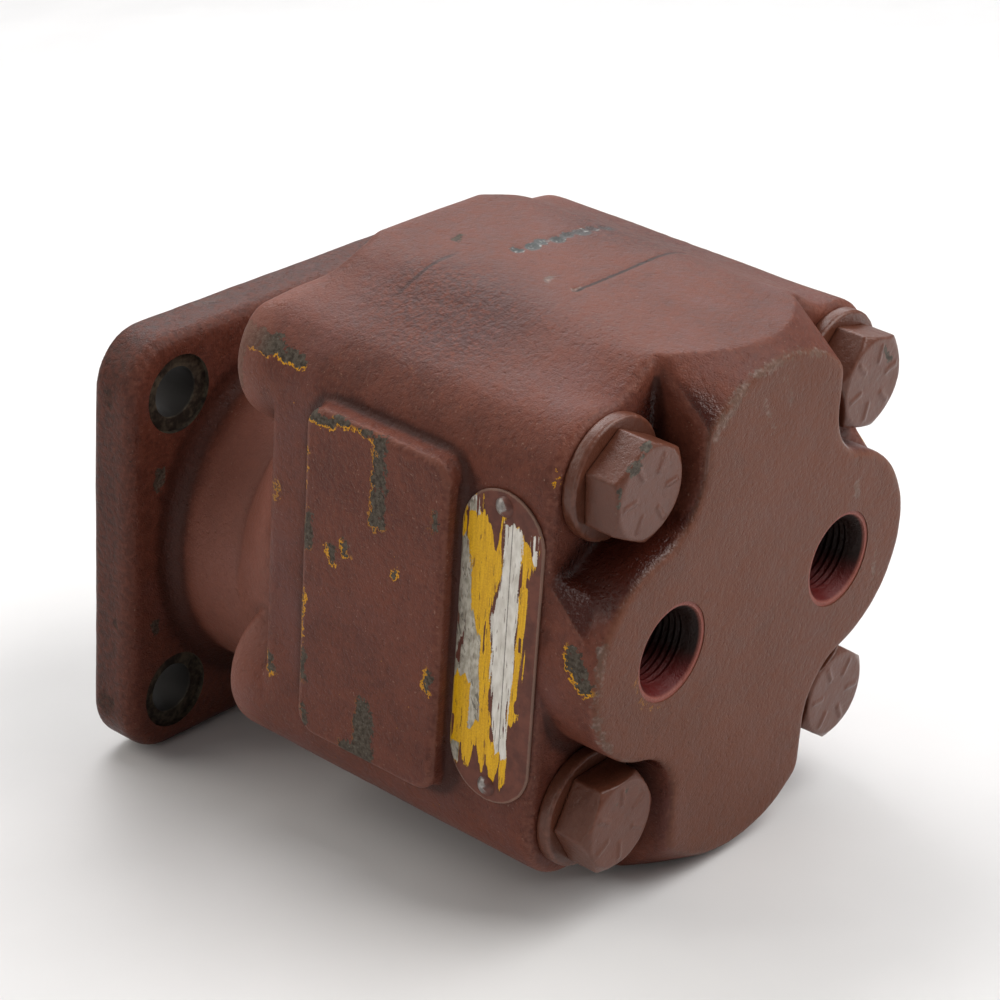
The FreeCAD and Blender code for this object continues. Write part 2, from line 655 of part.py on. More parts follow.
def make_washer(x, z):
    y0 = LEDGE_Y
    y1 = LEDGE_Y + WASHER_T
    bevel = WASHER_CHAMFER
    return revolve([(WASHER_HOLE_R, y0), (WASHER_R - bevel, y0), (WASHER_R, y0 + bevel),
                    (WASHER_R, y1 - bevel), (WASHER_R - bevel, y1), (WASHER_HOLE_R, y1)], x, z)


def make_dowel(joint_y, x, z):
    y0 = joint_y - DOWEL_HALF
    y1 = joint_y + DOWEL_HALF
    bevel = DOWEL_CHAMFER
    return revolve([(0, y0), (DOWEL_R - bevel, y0), (DOWEL_R, y0 + bevel), (DOWEL_R, y1 - bevel),
                    (DOWEL_R - bevel, y1), (0, y1)], x, z)


def make_nameplate():
    half_w = NAMEPLATE_W / 2
    corners = [(NAMEPLATE_Y + sy * half_w, MID_Z + sz * NAMEPLATE_HALF_Z, half_w - 0.05)
               for sy, sz in ((1, 1), (1, -1), (-1, -1), (-1, 1))]
    wire = rounded_wire(corners, lambda y, z: V(HALF, y, z))
    plate = Part.Face(wire).extrude(V(NAMEPLATE_T, 0, 0))
    starts = [V(HALF - 1, NAMEPLATE_Y, MID_Z + side * SCREW_Z) for side in (1, -1)]
    return plate.cut([Part.makeCylinder(SCREW_R, NAMEPLATE_T + 2, start, V(1, 0, 0)) for start in starts])


def make_nameplate_screw(side):
    z = MID_Z + side * SCREW_Z
    face_x = HALF + NAMEPLATE_T
    start = V(HALF - SCREW_LENGTH, NAMEPLATE_Y, z)
    shank = Part.makeCylinder(SCREW_R, SCREW_LENGTH + NAMEPLATE_T, start, V(1, 0, 0))
    dome_r = (SCREW_HEAD_R ** 2 + SCREW_HEAD_H ** 2) / (2 * SCREW_HEAD_H)
    dome = Part.makeSphere(dome_r, V(face_x + SCREW_HEAD_H - dome_r, NAMEPLATE_Y, z))
    head = dome.common(block(face_x, face_x + 5, NAMEPLATE_Y - 5, NAMEPLATE_Y + 5, z - 5, z + 5))
    return shank.fuse(head).removeSplitter()


# ---- The assembly, one STEP file per piece ----

def all_parts():
    half_pitch = math.pi / TEETH
    bushing_rear_y = REAR_JOINT + PLATE_SEAL_H / 2
    parts = {
        "front_cover": make_front_cover(),
        "gear_housing": make_gear_housing(),
        "rear_cover": make_rear_cover(),
        "drive_shaft": make_drive_shaft(),
        "drive_gear": make_gear(DRIVE_Z, 0),
        "drive_gear_key": make_key(DRIVE_Z),
        "idler_shaft": make_idler_shaft(),
        "idler_gear": make_gear(IDLER_Z, half_pitch),
        "idler_gear_key": make_key(IDLER_Z),
        "front_drive_bushing": make_bushing(BUSHING_FRONT_Y, DRIVE_Z),
        "front_idler_bushing": make_bushing(BUSHING_FRONT_Y, IDLER_Z),
        "rear_drive_bushing": make_bushing(bushing_rear_y, DRIVE_Z),
        "rear_idler_bushing": make_bushing(bushing_rear_y, IDLER_Z),
        "front_wear_plate": make_wear_plate(FRONT_JOINT, 1),
        "rear_wear_plate": make_wear_plate(REAR_JOINT, -1),
        "front_wear_plate_seal": make_plate_seal(FRONT_JOINT, 1),
        "rear_wear_plate_seal": make_plate_seal(REAR_JOINT, -1),
        "front_section_seal": seal_loop(FRONT_JOINT - SEAL_H, FRONT_JOINT),
        "rear_section_seal": seal_loop(REAR_JOINT, REAR_JOINT + SEAL_H),
        "shaft_seal_case": make_seal_case(),
        "shaft_seal_lip": make_seal_lip(),
        "shaft_seal_spring": make_garter_spring(),
        "shaft_seal_snap_ring": make_snap_ring(),
        "nameplate": make_nameplate(),
    }
    for number, (x, z) in enumerate(CORNERS, 1):
        parts[f"cover_bolt_{number}"] = make_bolt(x, z, BOLT_TURNS[number - 1])
        parts[f"bolt_washer_{number}"] = make_washer(x, z)
    for number, (x, z) in enumerate(DOWELS, 1):
        parts[f"front_dowel_{number}"] = make_dowel(FRONT_JOINT, x, z)
        parts[f"rear_dowel_{number}"] = make_dowel(REAR_JOINT, x, z)
    for number, side in enumerate((1, -1), 1):
        parts[f"nameplate_screw_{number}"] = make_nameplate_screw(side)
    return parts


def main():
    os.makedirs("parts", exist_ok=True)
    for name, shape in all_parts().items():
        box = shape.BoundBox
        solids = len(shape.Solids)
        print(f"{name:24s} solids {solids} valid {shape.isValid()} volume {shape.Volume / 1000:8.2f} cm3"
              f"  y {box.YMin:7.2f} {box.YMax:7.2f}")
        shape.exportStep(f"parts/{name}.step")


main()
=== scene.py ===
import json
import math

import bmesh
import bpy
import numpy as np
from mathutils import Matrix, Vector
from mathutils.kdtree import KDTree


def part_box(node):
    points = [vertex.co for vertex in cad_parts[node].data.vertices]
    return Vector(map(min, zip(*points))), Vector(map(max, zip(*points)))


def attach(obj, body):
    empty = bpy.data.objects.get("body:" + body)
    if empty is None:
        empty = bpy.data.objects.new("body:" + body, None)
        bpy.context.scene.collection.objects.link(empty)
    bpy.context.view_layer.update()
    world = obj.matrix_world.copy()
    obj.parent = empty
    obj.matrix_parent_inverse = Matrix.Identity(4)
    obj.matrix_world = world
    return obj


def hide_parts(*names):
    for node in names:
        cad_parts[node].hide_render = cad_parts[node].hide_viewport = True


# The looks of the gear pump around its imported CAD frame, in metres.
# The three castings share one cast skin, which is cut apart at the joint planes and then machined.
# Lengths in the tables below are in millimetres.

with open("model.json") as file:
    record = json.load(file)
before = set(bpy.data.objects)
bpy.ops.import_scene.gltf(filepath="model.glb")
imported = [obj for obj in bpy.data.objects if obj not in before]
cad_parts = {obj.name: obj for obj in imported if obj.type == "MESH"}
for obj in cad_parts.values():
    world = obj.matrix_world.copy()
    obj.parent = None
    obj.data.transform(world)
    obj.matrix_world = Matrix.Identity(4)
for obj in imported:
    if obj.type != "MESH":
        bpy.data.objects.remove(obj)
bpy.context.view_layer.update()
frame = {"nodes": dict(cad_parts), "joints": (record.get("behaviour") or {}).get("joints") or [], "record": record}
MM = 0.001
VOXEL = 0.9 * MM

# ---- Places, read from the frame ----

MOUNTS = {mount["name"]: mount for mount in frame["record"]["mounts"]}
HOUSING_LOW, HOUSING_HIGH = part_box("gear_housing")
FRONT_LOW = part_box("front_cover")[0]
FRONT_JOINT, REAR_JOINT = HOUSING_LOW.y / MM, HOUSING_HIGH.y / MM
REAR_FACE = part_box("rear_cover")[1].y / MM
PILOT_FACE = FRONT_LOW.y / MM
PAD_FACE = HOUSING_HIGH.x / MM
CROWN_TOP = HOUSING_HIGH.z / MM
FLANGE_HALF = -FRONT_LOW.z / MM
SIDE_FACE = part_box("nameplate")[0].x / MM
DRIVE_Z = 0.0
IDLER_Z = frame["joints"][1]["pos_m"][2] / MM
MID_Z = (DRIVE_Z + IDLER_Z) / 2
PORT_X = MOUNTS["port_a"]["pos_m"][0] / MM
PORT_R = MOUNTS["port_a"]["dims"]["r_mm"]
PILOT_R = MOUNTS["pilot"]["dims"]["r_mm"]
HOLE_R = MOUNTS["flange_bolts"]["dims"]["hole_r_mm"]
HOLE_AT = MOUNTS["flange_bolts"]["dims"]["pcd_mm"] / 2 / math.sqrt(2)
HOLES = [(sx * HOLE_AT, sz * HOLE_AT) for sx in (1, -1) for sz in (1, -1)]

# Sizes that the frame does not give, as in the CAD's source
FLANGE_T = 14.0
SPOTFACE_R = 11.0
SPOTFACE_DEPTH = 1.5
SEAL_BORE_R = 20.6
SEAL_BORE_END = 2
SNAP_GROOVE_R = 22.2
SNAP_GROOVE_Y = (-8, -6.4)
SHAFT_BORE_R = 13.6
BUSHING_R = 17
BUSHING_BORE_FRONT = 52
BUSHING_BORE_REAR = 146
CAVITY_R = 33.35
CHAMBER_INNER_X, CHAMBER_X, CHAMBER_HALF_Z = 10, 45, 9
BOLT_HOLE_R = 8.4
TAPPED_R = 7.95
TAPPED_END = 55.5
DOWEL_R = 4
DOWEL_DEPTH = 8.5
PASSAGE_R = 9
THREAD_R = 10.2
PORT_RIM_R = 13
PORT_RIM_DEPTH = 0.4

# Further out than the pump reaches, for solids that trim it
OUT = (90, 130)
NO_WEAR = -6.0


def centre(node):
    low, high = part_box(node)
    return (low + high) / 2 / MM


BOLTS = [centre(f"bolt_washer_{n}") for n in (1, 2, 3, 4)]
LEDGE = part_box("bolt_washer_1")[0].y / MM
WASHER_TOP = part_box("bolt_washer_1")[1].y / MM
SCREWS = [centre("nameplate_screw_1"), centre("nameplate_screw_2")]


# ---- Smooth noise over arrays of points ----

def lattice(points, cell, seed):
    """Smooth noise from -1 to 1 at each point, with features the size of cell, in millimetres."""
    size = 32
    table = np.random.default_rng(seed).random((size, size, size)) * 2 - 1
    scaled = points / cell
    base = np.floor(scaled).astype(int)
    part = scaled - base
    part = part * part * (3 - 2 * part)
    total = np.zeros(len(points))
    for corner in range(8):
        offset = np.array([corner & 1, corner >> 1 & 1, corner >> 2 & 1])
        weight = np.prod(np.where(offset, part, 1 - part), axis=1)
        index = (base + offset) % size
        total += weight * table[index[:, 0], index[:, 1], index[:, 2]]
    return total


def ramp(value, low, high):
    """0 at low, 1 at high, smooth between."""
    share = np.clip((value - low) / (high - low), 0, 1)
    return share * share * (3 - 2 * share)


# ---- Mesh helpers ----

def lathe(bm, profile, x=0.0, z=0.0, segments=96, axis="Y"):
    """Adds the closed solid swept by (radius, along) points about an axis, a ring if it stays off the axis."""
    rings = []
    for radius, along in profile:
        count = 1 if radius == 0 else segments
        ring = []
        for step in range(count):
            angle = 2 * math.pi * step / segments
            u, v = radius * math.sin(angle), radius * math.cos(angle)
            place = (x + u, along, z + v) if axis == "Y" else (along, x + u, z + v)
            ring.append(bm.verts.new(Vector(place) * MM))
        rings.append(ring)
    pairs = list(zip(rings, rings[1:]))
    if len(rings[0]) > 1:
        pairs.append((rings[-1], rings[0]))
    for ring, following in pairs:
        for step in range(segments):
            after = (step + 1) % segments
            if len(ring) == 1:
                bm.faces.new((ring[0], following[after], following[step]))
            elif len(following) == 1:
                bm.faces.new((ring[step], ring[after], following[0]))
            else:
                bm.faces.new((ring[step], ring[after], following[after], following[step]))


def rod(bm, radius, y0, y1, x=0.0, z=0.0, segments=96):
    lathe(bm, [(0, y0), (radius, y0), (radius, y1), (0, y1)], x, z, segments)


def rounded_slab(bm, half, corner_r, y0, y1):
    """Adds a rounded square about the drive axis, from y0 to y1."""
    ring = []
    for quarter in range(4):
        sx, sz = ((1, 1), (1, -1), (-1, -1), (-1, 1))[quarter]
        for step in range(13):
            angle = math.radians(90 * quarter + 90 * step / 12)
            ring.append((sx * (half - corner_r) + corner_r * math.sin(angle),
                         sz * (half - corner_r) + corner_r * math.cos(angle)))
    low = [bm.verts.new(Vector((x, y0, z)) * MM) for x, z in ring]
    high = [bm.verts.new(Vector((x, y1, z)) * MM) for x, z in ring]
    bm.faces.new(low)
    bm.faces.new(high[::-1])
    for step in range(len(ring)):
        after = (step + 1) % len(ring)
        bm.faces.new((low[after], low[step], high[step], high[after]))


def pour(part, bm):
    """Moves everything in one bmesh into another."""
    mesh = bpy.data.meshes.new("part")
    part.to_mesh(mesh)
    part.free()
    bm.from_mesh(mesh)
    bpy.data.meshes.remove(mesh)


def hull(bm, points):
    """Adds the convex solid round the points."""
    part = bmesh.new()
    bmesh.ops.convex_hull(part, input=[part.verts.new(Vector(point) * MM) for point in points])
    pour(part, bm)


def finish_mesh(bm, name):
    bmesh.ops.recalc_face_normals(bm, faces=bm.faces)
    mesh = bpy.data.meshes.new(name)
    bm.to_mesh(mesh)
    bm.free()
    return mesh


def new_object(name, mesh):
    piece = bpy.data.objects.new(name, mesh)
    bpy.context.scene.collection.objects.link(piece)
    return piece


def welded(*nodes):
    """The CAD nodes' meshes in one bmesh, with the split vertices joined."""
    bm = bmesh.new()
    for node in nodes:
        part = bmesh.new()
        part.from_mesh(frame["nodes"][node].data)
        bmesh.ops.remove_doubles(part, verts=part.verts, dist=1e-6)
        pour(part, bm)
    return bm


def applied(piece, kind, **settings):
    """Adds a modifier, and puts its result in the piece's mesh."""
    modifier = piece.modifiers.new(kind.lower(), kind)
    for key, value in settings.items():
        setattr(modifier, key, value)
    depsgraph = bpy.context.evaluated_depsgraph_get()
    depsgraph.update()
    mesh = bpy.data.meshes.new_from_object(piece.evaluated_get(depsgraph))
    piece.modifiers.clear()
    old = piece.data
    piece.data = mesh
    bpy.data.meshes.remove(old)
    return piece


def boolean(piece, operation, build):
    """Joins, cuts or trims the piece with a solid that build(bm) makes."""
    bm = bmesh.new()
    build(bm)
    tool = new_object("tool", finish_mesh(bm, "tool"))
    applied(piece, "BOOLEAN", object=tool, operation=operation, solver="MANIFOLD")
    mesh = tool.data
    bpy.data.objects.remove(tool)
    bpy.data.meshes.remove(mesh)


def coordinates(mesh):
    """Vertex places in millimetres, and vertex normals."""
    count = len(mesh.vertices)
    places = np.empty(count * 3)
    mesh.vertices.foreach_get("co", places)
    normals = np.empty(count * 3)
    mesh.vertex_normals.foreach_get("vector", normals)
    return places.reshape(-1, 3) / MM, normals.reshape(-1, 3)


def move_vertices(mesh, places):
    mesh.vertices.foreach_set("co", (places * MM).ravel())
    mesh.update()


def store(mesh, name, values):
    attribute = mesh.attributes.get(name) or mesh.attributes.new(name, "FLOAT", "POINT")
    attribute.data.foreach_set("value", values.astype(np.float32))


def box_solid(low, high):
    def build(bm):
        bmesh.ops.create_cube(bm, size=1)
        for vertex in bm.verts:
            vertex.co = Vector([(low[i] if vertex.co[i] < 0 else high[i]) * MM for i in range(3)])
    return build


def between(y0, y1):
    """A solid that takes in everything between two planes across the shafts."""
    side, top = OUT
    return box_solid((-side, y0, -side), (side, y1, top))


# ---- Materials ----

class Graph:
    """A material's node tree. An input is a number, a colour or another node's output."""

    def __init__(self, name):
        self.material = bpy.data.materials.new(name)
        self.material.use_nodes = True
        self.tree = self.material.node_tree
        self.tree.nodes.clear()
        self.mm = self.vector("SCALE", self.node("ShaderNodeTexCoord").outputs["Object"], scale=1 / MM)

    def node(self, kind, **settings):
        node = self.tree.nodes.new(kind)
        for key, value in settings.items():
            setattr(node, key, value)
        return node

    def feed(self, socket, value):
        if isinstance(value, bpy.types.NodeSocket):
            self.tree.links.new(value, socket)
        elif socket.type == "RGBA":
            socket.default_value = (*value, 1)
        else:
            socket.default_value = value

    def math(self, operation, a, b=0.0):
        node = self.node("ShaderNodeMath", operation=operation)
        for socket, value in zip(node.inputs, (a, b)):
            self.feed(socket, value)
        return node.outputs[0]

    def add(self, *values):
        total = values[0]
        for value in values[1:]:
            total = self.math("ADD", total, value)
        return total

    def times(self, *values):
        total = values[0]
        for value in values[1:]:
            total = self.math("MULTIPLY", total, value)
        return total

    def vector(self, operation, a, b=None, scale=1.0):
        node = self.node("ShaderNodeVectorMath", operation=operation)
        self.feed(node.inputs[0], a)
        if b is not None:
            self.feed(node.inputs[1], b)
        if operation == "SCALE":
            node.inputs["Scale"].default_value = scale
        return node.outputs[0]

    def axes(self, value=None):
        node = self.node("ShaderNodeSeparateXYZ")
        self.feed(node.inputs[0], self.mm if value is None else value)
        return node.outputs

    def join(self, x, y, z):
        node = self.node("ShaderNodeCombineXYZ")
        for socket, value in zip(node.inputs, (x, y, z)):
            self.feed(socket, value)
        return node.outputs[0]

    def noise(self, size, detail=3.0, seed=0.0, stretch=(1, 1, 1), at=None):
        """Smooth noise around 0, mostly from -0.5 to 0.5, with features the given size in millimetres."""
        scaled = self.vector("MULTIPLY", self.mm if at is None else at, tuple(1 / (size * s) for s in stretch))
        moved = self.vector("ADD", scaled, (seed * 7.3, seed * 3.1, seed * 5.7))
        node = self.node("ShaderNodeTexNoise")
        self.feed(node.inputs["Vector"], moved)
        node.inputs["Scale"].default_value = 1
        node.inputs["Detail"].default_value = detail
        node.inputs["Roughness"].default_value = 0.55
        return self.math("MULTIPLY", self.math("SUBTRACT", node.outputs["Fac"], 0.5), 1.6)

    def attribute(self, name):
        return self.node("ShaderNodeAttribute", attribute_name=name).outputs["Fac"]

    def step(self, value, low, high, out_low=0.0, out_high=1.0):
        """Smooth change from out_low at low to out_high at high."""
        node = self.node("ShaderNodeMapRange", interpolation_type="SMOOTHSTEP")
        for socket, amount in zip(node.inputs, (value, low, high, out_low, out_high)):
            self.feed(socket, amount)
        return node.outputs[0]

    def mix(self, share, a, b):
        node = self.node("ShaderNodeMix", data_type="RGBA")
        self.feed(node.inputs[0], share)
        self.feed(node.inputs[6], a)
        self.feed(node.inputs[7], b)
        return node.outputs[2]

    def blend(self, share, a, b):
        node = self.node("ShaderNodeMix", data_type="FLOAT")
        self.feed(node.inputs[0], share)
        self.feed(node.inputs[2], a)
        self.feed(node.inputs[3], b)
        return node.outputs[0]

    def surface(self, colour, roughness, metallic, height, specular=0.5, relief=1.0):
        """Ends the tree: height is in millimetres."""
        bump = self.node("ShaderNodeBump")
        bump.inputs["Strength"].default_value = relief
        bump.inputs["Distance"].default_value = MM
        self.feed(bump.inputs["Height"], height)
        shader = self.node("ShaderNodeBsdfPrincipled")
        self.feed(shader.inputs["Base Color"], colour)
        self.feed(shader.inputs["Roughness"], roughness)
        self.feed(shader.inputs["Metallic"], metallic)
        self.feed(shader.inputs["Normal"], bump.outputs[0])
        shader.inputs["Specular IOR Level"].default_value = specular
        output = self.node("ShaderNodeOutputMaterial")
        self.tree.links.new(shader.outputs[0], output.inputs[0])
        return self.material


def srgb(red, green, blue):
    """A screen colour, 0 to 255, as the linear colour that nodes take."""
    return tuple(v / 12.92 if v <= 0.04045 else ((v + 0.055) / 1.055) ** 2.4
                 for v in (red / 255, green / 255, blue / 255))


PAINT = srgb(106, 58, 44)
PAINT_DARK = srgb(80, 41, 31)
# A pale paint: dust, and the painted highlight on convex edges
PAINT_DUST_AND_HIGHLIGHT = srgb(130, 86, 72)
YELLOW = srgb(206, 146, 14)
BARE = srgb(88, 80, 70)
BARE_LIGHT = srgb(128, 126, 116)
BARE_DARK = srgb(54, 45, 37)
TEAL = srgb(62, 72, 72)


def painted(name, cast, specular):
    """Red oxide paint over older yellow paint over grey metal, with painted shade and painted highlights in it."""
    g = Graph(name)
    x, y, z = g.axes()
    broad, middle, fine, grain = g.noise(34, 2, 1), g.noise(5, 4, 2), g.noise(1.5, 4, 3), g.noise(0.45, 2, 4)
    tone = g.mix(g.step(g.add(g.times(broad, 0.5), g.times(middle, 0.5), g.times(fine, 0.6)), -0.5, 0.35),
                 PAINT_DARK, PAINT)
    tone = g.mix(g.step(g.add(fine, g.times(grain, 0.5)), 0.25, 0.6, 0, 0.4), tone, PAINT_DUST_AND_HIGHLIGHT)
    tone = g.mix(g.step(g.noise(24, 3, 25), 0.0, 0.4, 0, 0.5), tone, srgb(102, 66, 62))
    tone = g.mix(g.step(g.noise(0.8, 3, 16), 0.22, 0.42, 0, 0.6), tone, srgb(150, 118, 102))
    tone = g.mix(g.step(g.noise(0.7, 3, 22), 0.18, 0.4, 0, 0.65), tone, srgb(54, 30, 24))
    if not cast:
        tone = g.mix(0.6, tone, srgb(86, 50, 34))
    edge = g.attribute("edge")
    # Convex edges are made paler: partly rubbed paint, partly a painted highlight
    tone = g.mix(g.step(g.add(edge, g.times(fine, 0.4)), 0.16, 0.42, 0, 0.34), tone, PAINT_DUST_AND_HIGHLIGHT)
    # Painted shade: the paint is darkened in hollows, most on steep walls
    tone = g.mix(g.step(g.add(g.attribute("hollow_shade"), g.times(middle, 0.3)), -0.15, -1.2, 0, 0.8), tone,
                 srgb(52, 26, 20))
    ragged = g.add(g.times(g.noise(3.6, 5, 5), 3.4), g.times(g.noise(1.0, 5, 6), 2.6))
    chip = g.add(g.attribute("chip"), ragged)
    specks = g.step(g.add(g.noise(1.2, 3, 8), g.times(edge, 0.35)), 0.5, 0.53)
    dots = g.times(g.step(g.noise(1.3, 2, 17), 0.43, 0.46), g.step(g.noise(18, 2, 18), 0.0, 0.12),
                   g.step(x, 40, 50))
    bare = g.math("MAXIMUM", g.step(chip, 0.0, 0.12), g.times(specks, 0.8))
    broken = g.step(g.noise(2.6, 3, 9), -0.2, -0.06)
    yellow = g.times(g.step(chip, -0.6, -0.42), g.attribute("rim"), broken)
    yellow = g.math("MAXIMUM", yellow, g.times(dots, 0.8))
    metal = g.mix(g.step(g.noise(1.1, 5, 10), -0.3, 0.3), BARE_DARK, BARE)
    metal = g.mix(g.step(g.noise(0.7, 4, 11), 0.12, 0.5, 0, 0.8), metal, BARE_LIGHT)
    metal = g.mix(g.step(g.noise(1.8, 4, 19), 0.2, 0.34, 0, 0.75), metal, PAINT_DARK)
    tone = g.mix(yellow, tone, YELLOW)
    tone = g.mix(bare, tone, metal)
    scuff = g.step(g.add(g.attribute("scuff"), ragged), -0.1, 1.0, 0, 0.6)
    rubbed = g.mix(g.step(g.noise(1.1, 4, 20), -0.1, 0.3), srgb(96, 92, 84), srgb(162, 146, 138))
    tone = g.mix(scuff, tone, rubbed)
    wet = g.attribute("wet")
    tone = g.mix(g.times(wet, 0.9), tone, srgb(56, 21, 14))
    satin = g.step(g.add(middle, fine), -0.5, 0.7, *((0.38, 0.54) if cast else (0.3, 0.42)))
    rough = g.blend(wet, satin, 0.1)
    rough = g.blend(bare, rough, 0.62)
    metallic = g.times(bare, 0.2)
    pits = g.step(g.noise(1.6, 3, 21), 0.12, 0.42, 0, -0.14)
    height = g.add(g.times(fine, 0.19), g.times(grain, 0.10), pits)
    height = g.add(height, g.times(wet, g.noise(1.2, 3, 24), 0.26))
    height = g.add(height, g.times(bare, -0.10), g.times(yellow, -0.05))
    if cast:
        coarse = g.attribute("coarse")
        height = g.add(height, g.times(coarse, g.noise(1.1, 3, 12), 0.30))
        punched = g.step(g.add(g.attribute("punched"), g.times(ragged, 0.6)), -0.2, 0.3)
        tone = g.mix(g.times(punched, 0.9), tone, g.mix(g.step(fine, 0.1, 0.35), TEAL, srgb(176, 180, 178)))
        split = g.math("MINIMUM", g.math("ABSOLUTE", g.add(y, -REAR_JOINT)),
                       g.math("ABSOLUTE", g.add(y, -FRONT_JOINT)))
        split = g.step(g.add(split, g.times(fine, 0.5)), 0.7, 0.35)
        seam = g.times(split, g.step(g.attribute("seam"), 0.1, 0.6))
        tone = g.mix(g.times(seam, 0.85), tone, srgb(26, 18, 15))
        patch = g.times(coarse, g.step(g.add(g.noise(1.3, 4, 23), g.times(broad, 0.5)), -0.25, 0.15))
        tone = g.mix(g.times(patch, 0.75), tone, srgb(68, 45, 43))
        # Painted shade: the flange is darkened, most toward its front face
        flange = g.mix(g.step(fine, -0.3, 0.3), srgb(48, 27, 21), PAINT_DARK)
        tone = g.mix(g.step(y, 18, 6, 0, 0.8), tone, flange)
        # Painted shade: the rear face is made a little darker and browner than the rest of the paint
        tone = g.mix(g.step(y, 169.5, 171, 0, 0.5), tone, srgb(97, 61, 43))
        # The neck and the bosses just behind the flange are made paler: partly dust, partly painted light
        behind_flange = g.times(g.step(y, 17, 24), g.step(y, 64, 54, 0, 0.5))
        tone = g.mix(behind_flange, tone, srgb(134, 88, 76))
        cut, seat, port = g.attribute("machined"), g.attribute("seat"), g.attribute("port")
        radius = g.math("SQRT", g.add(g.times(x, x), g.times(z, z)))
        rings = g.noise(0.5, 3, 13, at=g.join(radius, y, 0.0))
        iron = g.mix(g.step(g.add(rings, g.noise(9, 4, 14)), -0.5, 0.6), srgb(92, 90, 86), srgb(150, 148, 143))
        iron = g.mix(g.step(g.noise(6, 5, 15), 0.12, 0.45, 0, 0.7), iron, srgb(96, 66, 44))
        tone = g.mix(cut, tone, iron)
        rough = g.blend(cut, rough, g.step(g.noise(6, 5, 15), -0.2, 0.5, 0.34, 0.62))
        metallic = g.blend(cut, metallic, 0.8)
        height = g.blend(cut, height, g.times(rings, 0.012))
        # The spotface floors are dirty bare metal; the bolt holes below them are made near black, painted shade
        dirt_and_hole_shade = g.mix(g.step(g.add(fine, middle), -0.3, 0.4), srgb(34, 27, 22), srgb(74, 66, 54))
        dirt_and_hole_shade = g.mix(g.step(y, 12.45, 11.6), dirt_and_hole_shade, srgb(20, 16, 13))
        tone = g.mix(seat, tone, dirt_and_hole_shade)
        rough = g.blend(seat, rough, 0.7)
        metallic = g.blend(seat, metallic, 0.0)
        # Inside the ports: a pinkish rim, then a bore darkened with depth, partly dark oil and partly painted
        # shade, redder low down
        deep = g.mix(g.step(z, MID_Z - 3, MID_Z - 11), srgb(30, 16, 12), srgb(84, 20, 18))
        inside = g.mix(g.step(y, 171.02, 170.2), srgb(132, 76, 66), deep)
        tone = g.mix(port, tone, inside)
    return g.surface(tone, rough, metallic, height, specular=specular, relief=1.0 if cast else 0.4)


def painted_plate():
    """The nameplate: a pale plate under yellow and brown overspray, scraped off in long streaks."""
    g = Graph("nameplate_metal")
    _, y, z = g.axes()
    streak = g.noise(0.6, 4, 1, stretch=(1, 1, 16))
    fine = g.noise(0.5, 3, 2)
    strokes = g.step(g.noise(0.45, 2, 9, stretch=(1, 1, 14)), 0.24, 0.3, 0, -3)
    scraped = g.add(g.attribute("scraped"), g.times(streak, 2.2), g.times(fine, 0.5), strokes)
    through = g.add(g.attribute("through"), g.times(streak, 1.3), g.times(fine, 0.7))
    silver = g.attribute("silver")
    pale = g.mix(g.step(g.noise(1.6, 4, 3, stretch=(1, 1, 3)), -0.3, 0.35),
                 srgb(196, 190, 180), srgb(226, 222, 214))
    dull = g.mix(g.step(g.noise(1.2, 4, 4, stretch=(1, 1, 2)), -0.25, 0.3),
                 srgb(146, 140, 126), srgb(190, 184, 171))
    plate = g.mix(silver, pale, dull)
    smudge = g.noise(1.0, 3, 5, at=g.join(g.add(y, g.times(z, 0.35)), z, 0.0), stretch=(1, 2.6, 1))
    plate = g.mix(g.times(g.step(smudge, 0.14, 0.24, 0, 0.7), silver), plate, srgb(78, 73, 65))
    line = g.math("ABSOLUTE", g.add(y, g.times(z, 0.004), -144.3))
    plate = g.mix(g.step(g.add(line, g.times(fine, 0.1)), 0.22, 0.06, 0, 0.8), plate, srgb(92, 84, 76))
    yellow = g.mix(g.step(g.add(streak, fine), -0.5, 0.5), srgb(200, 148, 0), srgb(226, 176, 8))
    yellow = g.mix(g.step(g.noise(1.4, 4, 6, stretch=(1, 1, 4)), 0.2, 0.34, 0, 0.8), yellow, srgb(112, 66, 26))
    brown = g.mix(g.step(g.noise(3, 4, 7), -0.4, 0.4), PAINT_DARK, PAINT)
    brown = g.mix(g.step(g.noise(1.0, 3, 8), 0.36, 0.5, 0, 0.5), brown, srgb(150, 124, 112))
    bare = g.step(through, 0.0, 0.12)
    opened = g.step(scraped, 0.0, 0.12)
    tone = g.mix(opened, brown, g.mix(bare, yellow, plate))
    # The plate's raised edge is made paler: partly rubbed paint, partly a painted highlight
    edge = g.step(g.add(g.attribute("edge"), g.times(fine, 0.06)), 0.06, 0.12, 0, 0.35)
    tone = g.mix(edge, tone, srgb(150, 128, 112))
    rough = g.blend(opened, 0.5, g.blend(bare, 0.42, 0.36))
    height = g.add(g.times(opened, -0.06), g.times(opened, bare, -0.05), g.times(fine, 0.02),
                   g.times(streak, 0.02))
    return g.surface(tone, rough, g.times(opened, bare, silver, 0.35), height, specular=0.3)


